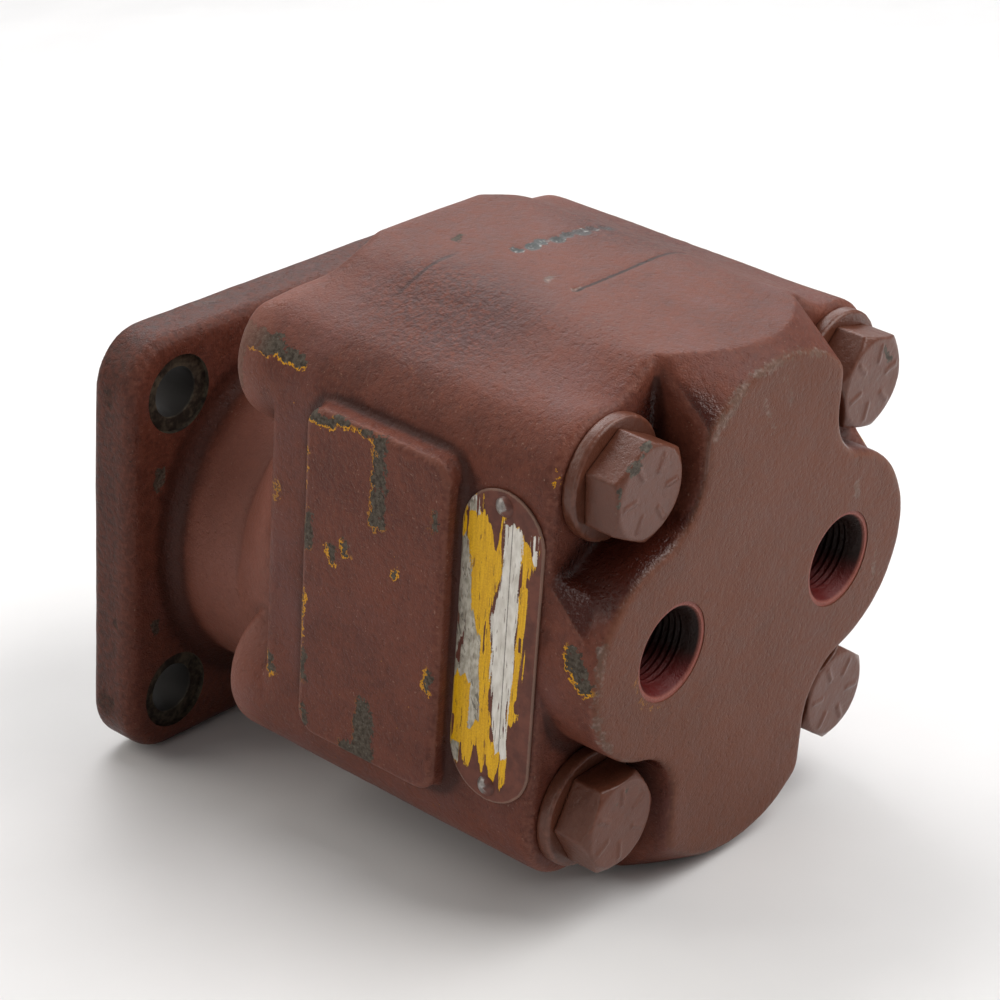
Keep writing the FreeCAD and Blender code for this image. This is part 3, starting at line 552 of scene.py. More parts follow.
def metal(name, dark, light, stain, rough, marks):
    """Turned or ground metal, with tool marks round either gear's axis, scratches and a film of old oil."""
    g = Graph(name)
    x, y, z = g.axes()
    upper = g.math("GREATER_THAN", z, MID_Z)
    up = g.math("SUBTRACT", z, g.times(upper, IDLER_Z))
    radius = g.math("SQRT", g.add(g.times(x, x), g.times(up, up)))
    rings = g.noise(marks, 3, 1, at=g.join(radius, y, 0.0))
    film, scratch = g.noise(5, 5, 2), g.noise(0.5, 3, 3, stretch=(8, 1, 3))
    tone = g.mix(g.step(g.add(rings, g.times(scratch, 0.5)), -0.6, 0.6), dark, light)
    tone = g.mix(g.step(film, 0.05, 0.45, 0, 0.65), tone, stain)
    height = g.add(g.times(rings, 0.01), g.times(scratch, 0.004))
    return g.surface(tone, g.step(film, -0.4, 0.5, rough, rough + 0.2), 0.9, height)


def rubber():
    g = Graph("seal_rubber")
    fine, film = g.noise(0.4, 3, 1), g.noise(4, 4, 2)
    tone = g.mix(g.step(film, -0.2, 0.5), (0.012, 0.012, 0.013), (0.03, 0.028, 0.026))
    return g.surface(tone, g.step(film, -0.3, 0.4, 0.35, 0.6), 0.0, g.times(fine, 0.02))


def painted_screw():
    """A domed drive screw with most of the paint scraped off its crown."""
    g = Graph("nameplate_screw")
    x, y, _ = g.axes()
    worn = g.add(x, -SIDE_FACE - 1.5, g.times(g.noise(2.2, 3, 1), 1.4), g.times(g.add(y, -141.3), -0.3))
    bare = g.step(worn, 0.0, 0.35)
    brown = g.mix(g.step(g.noise(1.5, 4, 2), -0.4, 0.4), PAINT_DARK, PAINT)
    steel = g.mix(g.step(g.noise(1.4, 4, 3), -0.3, 0.4), srgb(112, 106, 102), srgb(158, 152, 148))
    return g.surface(g.mix(bare, brown, steel), g.blend(bare, 0.5, 0.38), g.times(bare, 0.5),
                     g.add(g.times(g.noise(0.8, 3, 4), 0.02), g.times(bare, -0.04)))


# ---- The cast skin ----

# The web that runs from the side face up to the port lobe, below each upper bolt pocket
WEB = [(62.3, 151, 53.5), (62.6, 169, 36.5), (62.6, 151, 30), (62.6, 169, 30), (50, 151, 51.5),
       (55, 166.5, 46), (50, 151, 30), (50, 169, 30)]


def raw_casting():
    """One closed skin over the three castings, with every hole stopped and stock left on the machined faces."""
    bm = welded("front_cover", "gear_housing", "rear_cover")
    rod(bm, PILOT_R + 0.8, PILOT_FACE - 0.8, 2)
    rounded_slab(bm, FLANGE_HALF - 0.8, 14.2, -0.8, 2)
    for x, z in HOLES:
        rod(bm, SPOTFACE_R + 0.2, 1, FLANGE_T, x, z)
    for side in (1, -1):
        rod(bm, PORT_R + 3, REAR_FACE - 12, REAR_FACE, side * PORT_X, MID_Z)
    for bolt in BOLTS:
        rod(bm, 9.5, LEDGE - 20, LEDGE, bolt.x, bolt.z)
    for screw in SCREWS:
        lathe(bm, [(0, SIDE_FACE - 5), (2, SIDE_FACE - 5), (2, SIDE_FACE), (0, SIDE_FACE)],
              screw.y, screw.z, 24, axis="X")
    for side in (1, -1):
        hull(bm, [(side * x, y, z) for x, y, z in WEB])
    skin = new_object("skin", finish_mesh(bm, "skin"))
    applied(skin, "REMESH", mode="VOXEL", voxel_size=VOXEL, adaptivity=0.0, use_smooth_shade=True)
    applied(skin, "SMOOTH", factor=0.5, iterations=2)
    return skin


def shape_skin(skin):
    """Sand-cast waviness, a rough patch on top, and a few dents and scars."""
    mesh = skin.data
    melt_crowns(mesh, 10)
    places, normals = coordinates(mesh)
    x, y, z = places.T
    side = np.abs(normals[:, 0])
    pad = ramp(np.abs(x), PAD_FACE - 1.2, PAD_FACE - 0.4) * ramp(side, 0.7, 0.95)
    strip = ramp(side, 0.9, 0.99) * (np.abs(x) > SIDE_FACE - 1) * (y > FRONT_JOINT - 18)
    calm = np.maximum(pad, 0.7 * strip)
    seats = np.zeros(len(places))
    for bolt in BOLTS:
        away = np.hypot(x - bolt.x, z - bolt.z)
        seats = np.maximum(seats, ramp(-away, -19, -16.5) * (y > LEDGE - 2) * (normals[:, 1] > 0.5))
    plate_y = (SCREWS[0].y + SCREWS[1].y) / 2
    seats = np.maximum(seats, (np.abs(y - plate_y) < 14) * (np.abs(z - MID_Z) < 44) * (normals[:, 0] > 0.8))
    rough = rough_patch(places, normals)
    wave = 0.16 * lattice(places, 17, 1) + 0.07 * lattice(places, 6, 2)
    grain = (0.02 + 0.10 * rough) * lattice(places, 1.8, 3) + 0.05 * rough * lattice(places, 3.1, 4)
    relief = (wave + grain) * (1 - 0.75 * calm) * (1 - seats)
    relief -= 0.2 * groove(places, normals)
    for px, py, pz, radius, depth in DENTS:
        away = np.sqrt((x - px) ** 2 + (y - py) ** 2 + (z - pz) ** 2)
        relief -= depth * ramp(-away, -radius, 0)
    move_vertices(mesh, places + normals * relief[:, None])


def rough_patch(places, normals):
    """Where the casting is coarse: the shoulder of the gear housing's crown, fading out around it."""
    x, y, z = places.T
    spread = np.sqrt(((np.abs(x) - 36) / 24) ** 2 + ((y - 98) / 30) ** 2)
    return ramp(-spread, -1.3, -0.3) * ramp(np.abs(normals[:, 2]), 0.3, 0.7) * (np.abs(z - MID_Z) > 50)


def groove(places, normals):
    """The joint lines that show through the paint, on the crowns only."""
    x, y, z = places.T
    level = ramp(np.abs(normals[:, 2]), 0.8, 0.97) * (np.abs(z - MID_Z) > 60)
    rear = ramp(-np.abs(y - REAR_JOINT), -1.6, -0.6) * ramp(14 - x, 0, 2) * ramp(x, -34, -30)
    front = 0.5 * ramp(-np.abs(y - FRONT_JOINT), -1.6, -0.6) * ramp(x, 12, 20) * ramp(42 - x, 0, 6)
    return level * np.maximum(rear, front)


# A row of blind punch marks across the housing's crown, and scars: x, y, z, radius, depth
DENTS = [(3.2 - 4.3 * n, 90.6 + 0.5 * n + 0.8 * (n % 2), CROWN_TOP, 2.5 + 0.4 * (n % 2), 0.8 - 0.15 * (n % 3))
         for n in range(8)]
PUNCHED = len(DENTS)
DENTS += [(11.5, REAR_JOINT - 0.6, CROWN_TOP, 2.2, 0.5), (9, 76, CROWN_TOP, 1.8, 0.35),
          (51.6, FLANGE_T, 22, 2.5, 0.5), (50.5, FLANGE_T, 16, 1.8, 0.4), (SIDE_FACE, 70, 22, 1.5, 0.2)]


# ---- Wear and painted light, as fields on the skin's vertices ----

# Chips down to grey metal: centre, direction, half length, half width, and how much yellow shows round it
CHIPS = [
    ((61.5, 52.5, 75), (0, 0, 1), 9, 3.0, 0.0), ((61.5, 59.5, 80.5), (0, 1, 0), 8, 2.6, 0.9),
    ((61.5, 69, 79.5), (0, 1, 0), 6, 1.6, 1.0), ((69, 87, 71.5), (0, 1, 0), 5, 1.4, 1.0),
    ((69.2, 97, 73), (0, 1, 0), 7, 0.8, 1.0), ((69.2, 82.8, 55), (0, 0, 1), 11, -0.1, 0.9),
    ((69.2, 84, 40.5), (0, 0, 1), 5, 1.5, 0.2), ((69.3, 92.5, 36.5), (0, 0, 1), 2.5, 1.4, 0.9),
    ((69.3, 96.8, 40), (0, 0, 1), 2.2, 1.3, 0.9), ((69.3, 113.1, 39.3), (0, 0, 1), 1.3, 0.3, 1.0),
    ((69.3, 106.8, 61.5), (0, 0, 1), 12.5, 1.9, 0.45), ((69.3, 124.5, 58.5), (0, 0, 1), 3, 1.0, 0.1),
    ((69.3, 125.3, 15.4), (0, 0, 1), 3.5, 1.0, 0.8), ((63.4, 67.6, 44), (0, 0, 1), 3, 0.5, 0.4),
    ((69.3, 105.3, -9), (0, 0, 1), 8, 3.2, 0.1), ((69, 102, -15.5), (0, 1, 0), 5, 2.6, 0.1),
    ((69.3, 104.5, -4), (0, 0, 1), 5, 2.0, 0.1), ((69.2, 83.4, 16), (0, 0, 1), 8, -0.1, 0.9),
    ((69.2, 84, 2), (0, 0, 1), 5, 0.9, 0.1), ((69.2, 84.9, -13), (0, 0, 1), 4, 0.9, 0.1),
    ((63.4, 67.5, -6.5), (0, 0, 1), 3, 1.4, 0.8), ((63, 165.8, 32.5), (0.09, 0.58, -0.81), 6, 2.6, 1.0),
    ((60.5, 155.2, 76.1), (0, 1, 0), 1.8, 0.1, 1.0), ((62, 153.7, 77.3), (0, 0, 1), 1.5, 0.1, 1.0),
    ((62, 5.2, 46), (0, 0, 1), 3.5, 1.8, 0.0), ((62, 4.5, -46), (0, 0, 1), 4, 2.6, 0.0),
    ((62, 8.0, -20), (0, 0, 1), 1.5, 0.6, 0.0), ((51.6, 14, 21.9), (0, 0, 1), 3, 1.8, 0.0),
    ((52.5, 14, -22), (0, 0, 1), 2.5, 1.3, 0.0), ((61.9, 13.6, 28), (0, 0, 1), 2.5, 0.4, 0.0),
    ((9, 76, 98.3), (1, 0.3, 0), 2.4, 0.9, 0.0),
    # Sides the camera does not see
    ((-61.5, 57, 77), (0, 0.3, 1), 7, 2.6, 0.4), ((-69.3, 91, 66), (0, 0, 1), 6, 1.8, 0.6),
    ((-69.3, 112, 12), (0, 0.4, 1), 4, 2.2, 0.5), ((-69.3, 84, -6), (0, 0, 1), 7, 0.7, 0.7),
    ((-62, 6, 30), (0, 0, 1), 5, 1.6, 0.0), ((-20, 5, -62), (1, 0, 0), 9, 1.6, 0.2),
    ((24, 150, -43), (1, 0.4, 0), 6, 2.0, 0.4), ((-62, 160, 50), (0, 1, 0.5), 4, 1.6, 0.8),
    ((-28, 60, -42), (1, 0.2, 0), 5, 2.4, 0.2),
]
# A broken line of them round the lower edge of the port's rim
for turn in map(math.radians, (-74, -56, -38, -20)):
    CHIPS.append(((PORT_X + 14 * math.cos(turn), 171.4, MID_Z + 14 * math.sin(turn)),
                  (-math.sin(turn), 0, math.cos(turn)), 2.2, -0.15, 0.55))
# Wide chips show the yellow layer on their side toward the flange and down
RIM_SIDE = np.array([0, -0.5, -0.85])
# Pale scuffs, where the paint is rubbed but not through: centre, direction, half length, half width
SCUFFS = [
    ((23.6, 3.4, 62), (1, 0, 0), 6, 1.6), ((20, 171, 87.5), (-0.73, 0, 0.68), 9, 1.8),
    ((5, 171.2, 94), (1, 0, 0), 10, 1.5), ((-12, 171.2, 93), (1, 0, 0.3), 8, 1.2),
    ((3.9, 171.4, 81.3), (0.6, 0, 1), 6, 1.0), ((-3.5, 171.4, 85.5), (0.4, 0, 1), 5, 1.0),
    ((61.5, 170.8, 31), (0, 0, 1), 14, 1.5), ((58, 171.2, 13), (0.7, 0, 1), 8, 1.5),
    ((48, 171.2, 3), (1, 0, 0.5), 6, 0.9), ((-39, 171.4, 47.1), (0.3, 0, 1), 3, 2.0),
    ((11, 116.6, 98.3), (1, 0, 0), 2.2, 1.0), ((-52, 171, 20), (0, 0, 1), 8, 1.0),
    ((30, 125, 92), (1, 0.4, 0), 7, 1.0), ((12, 108, 98.3), (1, 0.5, 0), 3, 1.0),
]
# Thick, glossy paint that ran and pooled: centre, reach
WET = [((46, 165, 56), 17), ((30, 163, 66), 14), ((28, 163, 80), 17), ((55, 161, 48), 13), ((60, 159, 42), 9),
       ((-30, 162, 68), 16), ((34, 160, -4), 14)]


def streak(places, at, along, length, width):
    """Distance inside a rounded streak, in millimetres, negative outside it, and the offset from its spine."""
    along = np.array(along, float)
    along /= np.linalg.norm(along)
    offset = places - np.array(at, float)
    reach = max(length - max(width, 0), 0)
    slide = np.clip(offset @ along, -reach, reach)
    offset -= slide[:, None] * along
    return width - np.linalg.norm(offset, axis=1), offset


def capsule(*shape):
    """Only the distance from streak."""
    return streak(*shape)[0]


def skin_fields(skin):
    """The fields for wear, painted highlights on edges and painted shade in hollows, with the skin's vertex places
    for looking them up.
    """
    mesh = skin.data
    places, normals = coordinates(mesh)
    x, y, z = places.T
    chip = np.full(len(places), NO_WEAR)
    rim = np.zeros(len(places))
    for at, along, length, width, yellow in CHIPS:
        inside, offset = streak(places, at, along, length, width)
        nearer = inside > chip
        chip[nearer] = inside[nearer]
        toward = (offset @ RIM_SIDE) / np.maximum(np.linalg.norm(offset, axis=1), 0.01)
        shown = ramp(toward, -0.5, 0.3) if width > 0.5 else np.ones(len(places))
        rim[nearer] = yellow * shown[nearer]
    punched = np.full(len(places), NO_WEAR)
    for px, py, pz, radius, _ in DENTS[:PUNCHED]:
        punched = np.maximum(punched, radius * 0.8 - np.linalg.norm(places - (px, py, pz), axis=1))
    scuff = np.full(len(places), NO_WEAR)
    for at, along, length, width in SCUFFS:
        scuff = np.maximum(scuff, capsule(places, at, along, length, width))
    wet = np.zeros(len(places))
    for at, reach in WET:
        wet = np.maximum(wet, 1 - np.linalg.norm(places - at, axis=1) / reach)
    wet = ramp(wet, 0.1, 0.45) * ramp(-y, -171.3, -170.7) * ramp(-np.abs(normals[:, 0]), -0.93, -0.75)
    # hollow_shade: how deep each vertex sits in a hollow, for painted shade; steep walls get more
    return {"places": places, "chip": chip, "rim": rim, "punched": punched, "scuff": scuff, "wet": wet,
            "coarse": rough_patch(places, normals), "edge": bulge(mesh, places, normals, 6),
            "hollow_shade": bulge(mesh, places, normals, 60) * (1.6 - np.abs(normals[:, 2])),
            "seam": groove(places, normals)}


class Neighbours:
    """Means over each vertex's neighbours, for the chosen vertices and those beside them."""

    def __init__(self, mesh, chosen):
        pairs = np.empty(len(mesh.edges) * 2, dtype=np.int64)
        mesh.edges.foreach_get("vertices", pairs)
        pairs = pairs.reshape(-1, 2)
        self.inside, pairs = np.unique(pairs[chosen[pairs].any(axis=1)], return_inverse=True)
        self.a, self.b = pairs.reshape(-1, 2).T
        self.size = len(self.inside)
        ends = [np.bincount(end, minlength=self.size) for end in (self.a, self.b)]
        self.count = (ends[0] + ends[1])[:, None]

    def mean(self, values):
        total = np.empty_like(values)
        for axis in range(values.shape[1]):
            total[:, axis] = (np.bincount(self.a, values[self.b, axis], self.size)
                              + np.bincount(self.b, values[self.a, axis], self.size))
        return total / self.count


def bulge(mesh, places, normals, rounds):
    """How far each vertex stands out from its smoothed surroundings, in millimetres; hollows are negative."""
    around = Neighbours(mesh, np.ones(len(places), dtype=bool))
    smooth = places
    for _ in range(rounds):
        smooth = around.mean(smooth)
    return ((places - smooth) * normals).sum(axis=1)


def melt_crowns(mesh, passes):
    """Fills the hollows between the crowns and the bosses beside them, and rounds the brows a little."""
    places, normals = coordinates(mesh)
    x, y, z = places.T
    weight = ramp(np.abs(x), 18, 27) * ramp(-np.abs(x), -57, -48) * ramp(y, 47, 52) * ramp(-y, -152, -138)
    weight *= ramp(np.abs(z - MID_Z), 46, 55) * ramp(-normals[:, 1], -0.8, -0.3)
    around = Neighbours(mesh, weight > 0)
    share = 0.8 * weight[around.inside, None]
    for _ in range(passes):
        places, normals = coordinates(mesh)
        near, facing = places[around.inside], normals[around.inside]
        for _ in range(50):
            toward = around.mean(near) - near
            sinking = np.minimum((toward * facing).sum(axis=1), 0)[:, None]
            near += share * (toward - 0.8 * sinking * facing)
        places[around.inside] = near
        move_vertices(mesh, places)


def give_fields(mesh, fields):
    """Copies the skin's fields to the vertices of a piece cut from it."""
    tree = KDTree(len(fields["places"]))
    for index, place in enumerate(fields["places"]):
        tree.insert(place, index)
    tree.balance()
    places, _ = coordinates(mesh)
    nearest = np.array([tree.find(place)[1] for place in places])
    for name, values in fields.items():
        if name != "places":
            store(mesh, name, values[nearest])


def mark_machined(mesh):
    """Marks the faces that were cut after casting, and those inside the ports."""
    count = len(mesh.polygons)
    centres = np.empty(count * 3)
    normals = np.empty(count * 3)
    mesh.polygons.foreach_get("center", centres)
    mesh.polygons.foreach_get("normal", normals)
    x, y, z = centres.reshape(-1, 3).T / MM
    normal_y = normals.reshape(-1, 3)[:, 1]
    cut = (y < 0.05) | ((np.hypot(x, z) < 22.5) & (y < FRONT_JOINT))
    hole = np.hypot(np.abs(x) - HOLE_AT, np.abs(z) - HOLE_AT)
    seat = (hole < SPOTFACE_R + 0.05) & (y < FLANGE_T + 0.5) & (y > 0.05)
    port_r = np.hypot(np.abs(x) - PORT_X, z - MID_Z)
    port = (port_r < PORT_R + 3) & (y > REAR_FACE - 18) & (y < REAR_FACE - 0.3)
    joint = (np.abs(normal_y) > 0.99) & ((np.abs(y - FRONT_JOINT) < 0.01) | (np.abs(y - REAR_JOINT) < 0.01))
    inner = (np.hypot(x, z) < 34) & (y > 2) & (y < 147) & (np.abs(normal_y) < 0.3)
    for name, flags in (("machined", cut | joint | inner | seat), ("seat", seat), ("port", port)):
        attribute = mesh.attributes.new(name, "FLOAT", "FACE")
        attribute.data.foreach_set("value", flags.astype(np.float32))


# ---- Machining ----

def dowel_holes(bm, side, joint, inward):
    """Adds the two dowel holes that run inward, 1 or -1, from just outside the joint plane."""
    for number in (1, 2):
        dowel = centre(f"{side}_dowel_{number}")
        low, high = sorted((joint - inward, joint + inward * DOWEL_DEPTH))
        rod(bm, DOWEL_R, low, high, dowel.x, dowel.z, 32)


def bolt_holes(bm, radius, low, high):
    for bolt in BOLTS:
        rod(bm, radius, low, high, bolt.x, bolt.z, 48)


def machine_front(bm):
    """Turns the pilot and faces the flange."""
    lathe(bm, [(PILOT_R, 0), (PILOT_R, PILOT_FACE + 0.5), (PILOT_R - 0.5, PILOT_FACE),
               (PILOT_R - 0.5, PILOT_FACE - 9), (110, PILOT_FACE - 9), (110, 0)], segments=160)


def bore_front(bm):
    groove_low, groove_high = SNAP_GROOVE_Y
    lathe(bm, [(0, PILOT_FACE - 2), (SEAL_BORE_R, PILOT_FACE - 2), (SEAL_BORE_R, groove_low),
               (SNAP_GROOVE_R, groove_low), (SNAP_GROOVE_R, groove_high), (SEAL_BORE_R, groove_high),
               (SEAL_BORE_R, SEAL_BORE_END), (SHAFT_BORE_R, SEAL_BORE_END), (SHAFT_BORE_R, BUSHING_BORE_FRONT),
               (BUSHING_R, BUSHING_BORE_FRONT), (BUSHING_R, FRONT_JOINT + 1), (0, FRONT_JOINT + 1)])
    rod(bm, BUSHING_R, BUSHING_BORE_FRONT, FRONT_JOINT + 1, 0, IDLER_Z)
    bolt_holes(bm, TAPPED_R, TAPPED_END, FRONT_JOINT + 1)
    dowel_holes(bm, "front", FRONT_JOINT, -1)
    for x, z in HOLES:
        lathe(bm, [(0, -1), (HOLE_R + 0.6, -1), (HOLE_R, 0.4), (HOLE_R, FLANGE_T - SPOTFACE_DEPTH),
                   (SPOTFACE_R, FLANGE_T - SPOTFACE_DEPTH), (SPOTFACE_R, FLANGE_T + 12), (0, FLANGE_T + 12)],
              x, z)


def bore_housing(bm):
    rod(bm, CAVITY_R, FRONT_JOINT - 1, REAR_JOINT + 1, 0, DRIVE_Z, 128)
    bolt_holes(bm, BOLT_HOLE_R, FRONT_JOINT - 1, REAR_JOINT + 1)
    dowel_holes(bm, "front", FRONT_JOINT, 1)
    dowel_holes(bm, "rear", REAR_JOINT, -1)


def bore_housing_again(bm):
    """The idler's bore crosses the drive's, so it is a cut of its own."""
    rod(bm, CAVITY_R, FRONT_JOINT - 1, REAR_JOINT + 1, 0, IDLER_Z, 128)


def bore_rear(bm):
    thread = [(THREAD_R - 0.45 * (step % 2), 155.0 + 0.9 * step) for step in range(15)]
    rim = REAR_FACE - PORT_RIM_DEPTH
    for side in (1, -1):
        lathe(bm, [(0, REAR_JOINT - 1), (PASSAGE_R, REAR_JOINT - 1), (PASSAGE_R, 154.4)] + thread
              + [(10.3, 168.8), (12, rim), (PORT_RIM_R, rim), (PORT_RIM_R, REAR_FACE + 3), (0, REAR_FACE + 3)],
              side * PORT_X, MID_Z)
    for z in (DRIVE_Z, IDLER_Z):
        rod(bm, BUSHING_R, REAR_JOINT - 1, BUSHING_BORE_REAR, 0, z)
    bolt_holes(bm, BOLT_HOLE_R, REAR_JOINT - 1, LEDGE + 2)
    dowel_holes(bm, "rear", REAR_JOINT, 1)


def slice_of(skin, name, y0, y1):
    piece = new_object(name, skin.data.copy())
    boolean(piece, "INTERSECT", between(y0, y1))
    return piece


def make_castings():
    skin = raw_casting()
    shape_skin(skin)
    fields = skin_fields(skin)
    front = slice_of(skin, "front_cover_casting", -15, FRONT_JOINT)
    housing = slice_of(skin, "gear_housing_casting", FRONT_JOINT, REAR_JOINT)
    rear = slice_of(skin, "rear_cover_casting", REAR_JOINT, REAR_FACE + 5)
    bpy.data.objects.remove(skin)
    boolean(front, "DIFFERENCE", between(-30, PILOT_FACE))
    boolean(front, "DIFFERENCE", machine_front)
    boolean(front, "DIFFERENCE", bore_front)
    boolean(housing, "DIFFERENCE", bore_housing)
    boolean(housing, "DIFFERENCE", bore_housing_again)
    for side in (1, -1):
        x0, x1 = sorted((side * CHAMBER_INNER_X, side * CHAMBER_X))
        chamber = box_solid((x0, FRONT_JOINT - 1, MID_Z - CHAMBER_HALF_Z),
                            (x1, REAR_JOINT + 1, MID_Z + CHAMBER_HALF_Z))
        boolean(housing, "DIFFERENCE", chamber)
    boolean(rear, "DIFFERENCE", bore_rear)
    material = painted("painted_casting", cast=True, specular=0.18)
    glossy = painted("painted_casting_wet", cast=True, specular=0.32)
    for node, piece in {"front_cover": front, "gear_housing": housing, "rear_cover": rear}.items():
        give_fields(piece.data, fields)
        mark_machined(piece.data)
        settle(piece, node, material)
        gloss_where_wet(piece.data, glossy)


def gloss_where_wet(mesh, glossy):
    """Gives the faces of the thick, wet-looking paint their own material."""
    mesh.materials.append(glossy)
    wet = np.empty(len(mesh.vertices), dtype=np.float32)
    mesh.attributes["wet"].data.foreach_get("value", wet)
    corners = np.empty(len(mesh.loops), dtype=np.int32)
    mesh.loops.foreach_get("vertex_index", corners)
    starts = np.empty(len(mesh.polygons), dtype=np.int32)
    mesh.polygons.foreach_get("loop_start", starts)
    mesh.polygons.foreach_set("material_index", (wet[corners[starts]] > 0.4).astype(np.int32))


def settle(piece, node, material, sharp=38):
    """The finished piece stands for the CAD node and rides with the housing."""
    piece.name = f"{node}_look"
    piece.data.shade_smooth()
    piece.data.set_sharp_from_angle(angle=math.radians(sharp))
    piece.data.materials.clear()
    piece.data.materials.append(material)
    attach(piece, "housing")
    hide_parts(node)


# ---- Bolts, washers, nameplate ----

def remeshed(bm, name, voxel, rounds):
    piece = new_object(name, finish_mesh(bm, name))
    applied(piece, "REMESH", mode="VOXEL", voxel_size=voxel * MM, adaptivity=0.0, use_smooth_shade=True)
    applied(piece, "SMOOTH", factor=0.5, iterations=rounds)
    return piece


# Rubbed spots on the bolts: centre, direction, half length, half width
BOLT_CHIPS = [((49, 168.2, 84.4), (0.75, 0.1, -0.65), 5.5, 0.8), ((56.5, 168.4, 75.8), (0, 0, 1), 2.2, 0.9),
              ((-50, 168.5, 80), (1, 0, 1), 3, 0.2), ((45, 168.2, -8), (1, 0, -1), 3, 0.1)]


def fastener_fields(piece):
    """Relief and wear on a small painted part; its edge field also gives the paler edges, partly a painted
    highlight.
    """
    mesh = piece.data
    places, normals = coordinates(mesh)
    relief = 0.05 * lattice(places, 4, 5) + 0.03 * lattice(places, 1.6, 6)
    move_vertices(mesh, places + normals * relief[:, None])
    chip = np.full(len(places), NO_WEAR)
    for at, along, length, width in BOLT_CHIPS:
        chip = np.maximum(chip, capsule(places, at, along, length, width))
    none = np.zeros(len(places))
    fields = {"chip": chip, "rim": none, "hollow_shade": none, "scuff": none + NO_WEAR, "wet": none,
              "edge": bulge(mesh, places, normals, 8)}
    for name, values in fields.items():
        store(mesh, name, values)


def make_fasteners():
    material = painted("painted_fastener", cast=False, specular=0.38)
    for number in (1, 2, 3, 4):
        node = f"bolt_washer_{number}"
        washer = remeshed(welded(node), node, 0.5, 3)
        fastener_fields(washer)
        settle(washer, node, material, 50)
        node = f"cover_bolt_{number}"
        neck = WASHER_TOP - 1
        shank = new_object("shank", finish_mesh(welded(node), "shank"))
        head = new_object("head", shank.data.copy())
        boolean(head, "INTERSECT", between(neck, 200))
        applied(head, "REMESH", mode="VOXEL", voxel_size=0.4 * MM, adaptivity=0.0,
                use_smooth_shade=True)
        applied(head, "SMOOTH", factor=0.5, iterations=3)
        fastener_fields(head)
        boolean(shank, "INTERSECT", between(0, neck + 0.6))
        applied(head, "BOOLEAN", object=shank, operation="UNION", solver="MANIFOLD")
        bpy.data.objects.remove(shank)
        settle(head, node, material, 50)


def plate_fields(piece):
    """Where the nameplate's overspray is scraped off, and through: where the yellow under it is too."""
    mesh = piece.data
    places, normals = coordinates(mesh)
    across = places[:, 1] - SCREWS[0].y
    down = max(screw.z for screw in SCREWS) - places[:, 2]
    flat = np.zeros_like(places)
    flat[:, 0], flat[:, 1] = across / 0.9, down / 9
    fray = lattice(flat, 1, 7)
    jag = lattice(np.stack([across / 0.8, np.zeros_like(across), np.zeros_like(across)], axis=1), 1, 8)

    def path(*pairs):
        return np.interp(down, [p[0] for p in pairs], [p[1] for p in pairs])

    def band(left, right, start, end):
        return np.minimum.reduce([across - left, right - across, down - start, end - down])

    silver_right = path((8, -10.5), (17, -9.0), (30, -7.8), (37, -5.3), (50, -4.3), (60, -3.1))
    pale_left = path((2, 0.0), (17, 0.4), (22, -0.5), (30, -2.4), (37, -1.5), (54, -0.5), (60, 0.5), (66, 1.8))
    pale_right = path((2, 4.5), (5, 5.8), (17, 6.0), (30, 6.2), (45, 5.3), (54, 4.8), (60, 5.2), (66, 5.6))
    far_right = path((5, 6.5), (10, 10.6), (17, 8.4), (30, 8.0), (37, 8.6), (45, 8.0), (54, 7.7), (58, 5.0))
    gap = 8 * ramp(-np.abs(across + 2.8), -3.2, -1.6)
    left_yellow = band(-13, pale_left + 0.4, 0.5 + 4 * jag + gap, 70 + 4.5 * jag)
    right_yellow = band(pale_right - 0.4, far_right, 5 + 3 * jag, 56 + 4 * jag)
    tail = band(pale_left - 3, pale_right + 0.2, 62 + 0 * jag, 73 + 4 * jag)
    pale = band(pale_left, pale_right, 3.5 + 1.2 * jag, 66 + 1.5 * jag)
    silver = np.maximum(band(-13, silver_right, 11 + 2 * jag, 49 + 2 * jag),
                        band(-7 + 0 * down, silver_right, 46 + 2 * jag, 61 + 2 * jag))
    corner = np.maximum(band(8.4 + 0 * down, 10.6, 4, 12 + jag), band(-12, -9.6, 68 + 0 * down, 73))
    corner = np.maximum(corner, band(-11.5, -7.2, 0 * down, 4.5 + jag))
    scraped = np.maximum.reduce([left_yellow, right_yellow, tail, pale, corner]) + 0.8 * fray
    gaps = ramp(lattice(flat * (1, 1.6, 1), 1, 9), 0.45, 0.7) * (1 - ramp(pale, -0.3, 0.3)) * 3
    through = np.maximum.reduce([pale, silver, corner]) + 0.5 * fray
    front = normals[:, 0] > 0.5
    store(mesh, "scraped", np.where(front, np.clip(scraped - gaps, -3, 3), -3))
    store(mesh, "through", np.clip(through, -3, 3))
    store(mesh, "silver", ramp(silver - pale, -0.2, 0.3))
    store(mesh, "edge", bulge(mesh, places, normals, 6))
    thick = 0.10 * ramp(-scraped, -0.2, 0.2) + 0.05 * ramp(-through, -0.2, 0.2)
    relief = np.where(front, thick - 0.08, 0) + 0.03 * lattice(places, 5, 10)
    move_vertices(mesh, places + normals * relief[:, None])


def make_nameplate():
    plate = remeshed(welded("nameplate"), "nameplate", 0.32, 2)
    plate_fields(plate)
    settle(plate, "nameplate", painted_plate(), 60)


def dress(nodes, material):
    """Gives the material to CAD pieces that are shown as they are."""
    for node in nodes:
        mesh = frame["nodes"][node].data
        mesh.materials.clear()
        mesh.materials.append(material)


# The metals' dark, light and stained colours, roughness, and the spacing of the tool marks
METALS = {
    "ground_steel": ((128, 128, 128), (188, 188, 186), (110, 96, 78), 0.2, 0.35),
    "gear_steel": ((104, 104, 106), (160, 160, 160), (84, 74, 62), 0.26, 0.5),
    "bearing_bronze": ((150, 112, 62), (196, 156, 96), (96, 70, 40), 0.3, 0.5),
    "spring_steel": ((60, 60, 62), (104, 104, 104), (52, 42, 34), 0.34, 0.4),
}


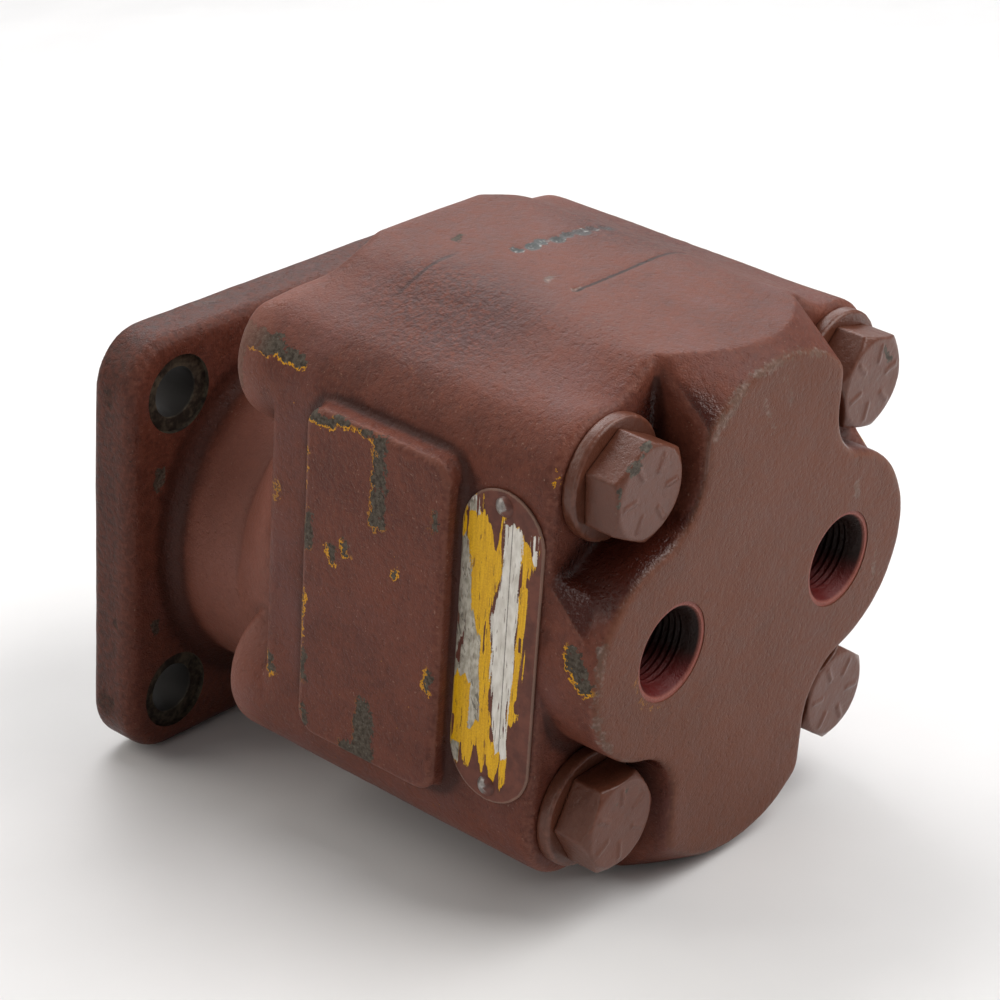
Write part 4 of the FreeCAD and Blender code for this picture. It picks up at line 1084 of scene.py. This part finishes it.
def dress_internals():
    slots = {row["node"]: row["material_slot"] for row in frame["record"]["subparts"]}
    looks = {name: metal(name, srgb(*dark), srgb(*light), srgb(*stain), rough, marks)
             for name, (dark, light, stain, rough, marks) in METALS.items()}
    looks["seal_rubber"] = rubber()
    for slot, material in looks.items():
        dress([node for node, given in slots.items() if given == slot], material)
    dress(["nameplate_screw_1", "nameplate_screw_2"], painted_screw())


make_castings()
make_fasteners()
make_nameplate()
dress_internals()

# ---- Floor, light and camera ----

# The camera solved for from the photograph: where it looks, its angles in degrees, its lens, its place
TARGET = Vector((0, 80, 0)) * MM
azimuth, elevation, roll = (math.radians(v) for v in (128.942, 26.903, 3.799))
back = Vector((math.sin(azimuth) * math.cos(elevation), -math.cos(azimuth) * math.cos(elevation),
               math.sin(elevation)))
right = Vector((0, 0, 1)).cross(back).normalized()
up = back.cross(right)
across = right * math.cos(roll) + up * math.sin(roll)
upward = up * math.cos(roll) - right * math.sin(roll)
lens = bpy.data.cameras.new("camera")
lens.sensor_width = 36
lens.lens = 111.12
camera = bpy.data.objects.new("camera", lens)
bpy.context.scene.collection.objects.link(camera)
eye = TARGET + (across * 7.462 + upward * 20.347 + back * 822.879) * MM
camera.matrix_world = Matrix((across, upward, back)).transposed().to_4x4()
camera.location = eye
bpy.context.scene.camera = camera


def floor_line():
    """The floor's (y, z) line under the pump, on the flange's rear edge and the rear cover."""
    low_front = Vector((13.0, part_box("front_cover")[0].z / MM))
    places = np.array([v.co for v in frame["nodes"]["rear_cover"].data.vertices]) / MM
    slope = ((places[:, 2] - low_front.y) / (places[:, 1] - low_front.x)).min()
    return low_front, slope


def floor_look():
    g = Graph("floor")
    tone = g.mix(g.step(g.noise(60, 3, 1), -0.5, 0.5), (0.70, 0.70, 0.70), (0.74, 0.74, 0.74))
    return g.surface(tone, 0.7, 0.0, g.times(g.noise(3, 2, 2), 0.01))


foot, slope = floor_line()
tilt = math.atan(slope)
floor_mesh = bpy.data.meshes.new("floor")
floor_mesh.from_pydata([(-40, -40, 0), (40, -40, 0), (40, 40, 0), (-40, 40, 0)], [], [(0, 1, 2, 3)])
floor = new_object("floor", floor_mesh)
floor.location = Vector((0, foot.x, foot.y - 0.3)) * MM
floor.rotation_euler = (tilt, 0, 0)
floor_mesh.materials.append(floor_look())


def softbox(name, place, aim, size, power, colour):
    """A rectangular light of so many watts; places and sizes are in metres."""
    light = bpy.data.lights.new(name, "AREA")
    light.shape = "RECTANGLE"
    light.size, light.size_y = size
    light.energy = power
    light.color = colour
    lamp = bpy.data.objects.new(name, light)
    bpy.context.scene.collection.objects.link(lamp)
    lamp.location = place
    lamp.rotation_euler = (Vector(place) - Vector(aim)).to_track_quat("Z", "Y").to_euler()


softbox("key", (-0.45, 0.62, 0.92), (0, 0.08, 0), (1.0, 1.0), 14, (1, 0.98, 0.96))
softbox("behind", (-1.0, -0.75, 0.8), (0, 0.08, 0.05), (1.3, 0.9), 8, (0.97, 0.98, 1))
softbox("left_fill", (0.7, -1.15, 0.8), (0, 0.08, 0.02), (1.1, 1.1), 10.5, (1, 0.96, 0.9))
softbox("front_top", (-0.22, -0.62, 1.0), (0, 0.08, 0.02), (0.7, 0.7), 7, (1, 0.97, 0.97))
softbox("side_fill", (1.5, 0.1, 0.4), (0, 0.08, 0.02), (0.8, 0.8), 3.0, (1, 0.95, 0.88))
world = bpy.data.worlds.new("studio")
bpy.context.scene.world = world
world.use_nodes = True
world.node_tree.nodes["Background"].inputs["Color"].default_value = (0.93, 0.94, 0.96, 1)
world.node_tree.nodes["Background"].inputs["Strength"].default_value = 0.21
bpy.context.scene.view_settings.view_transform = "Standard"
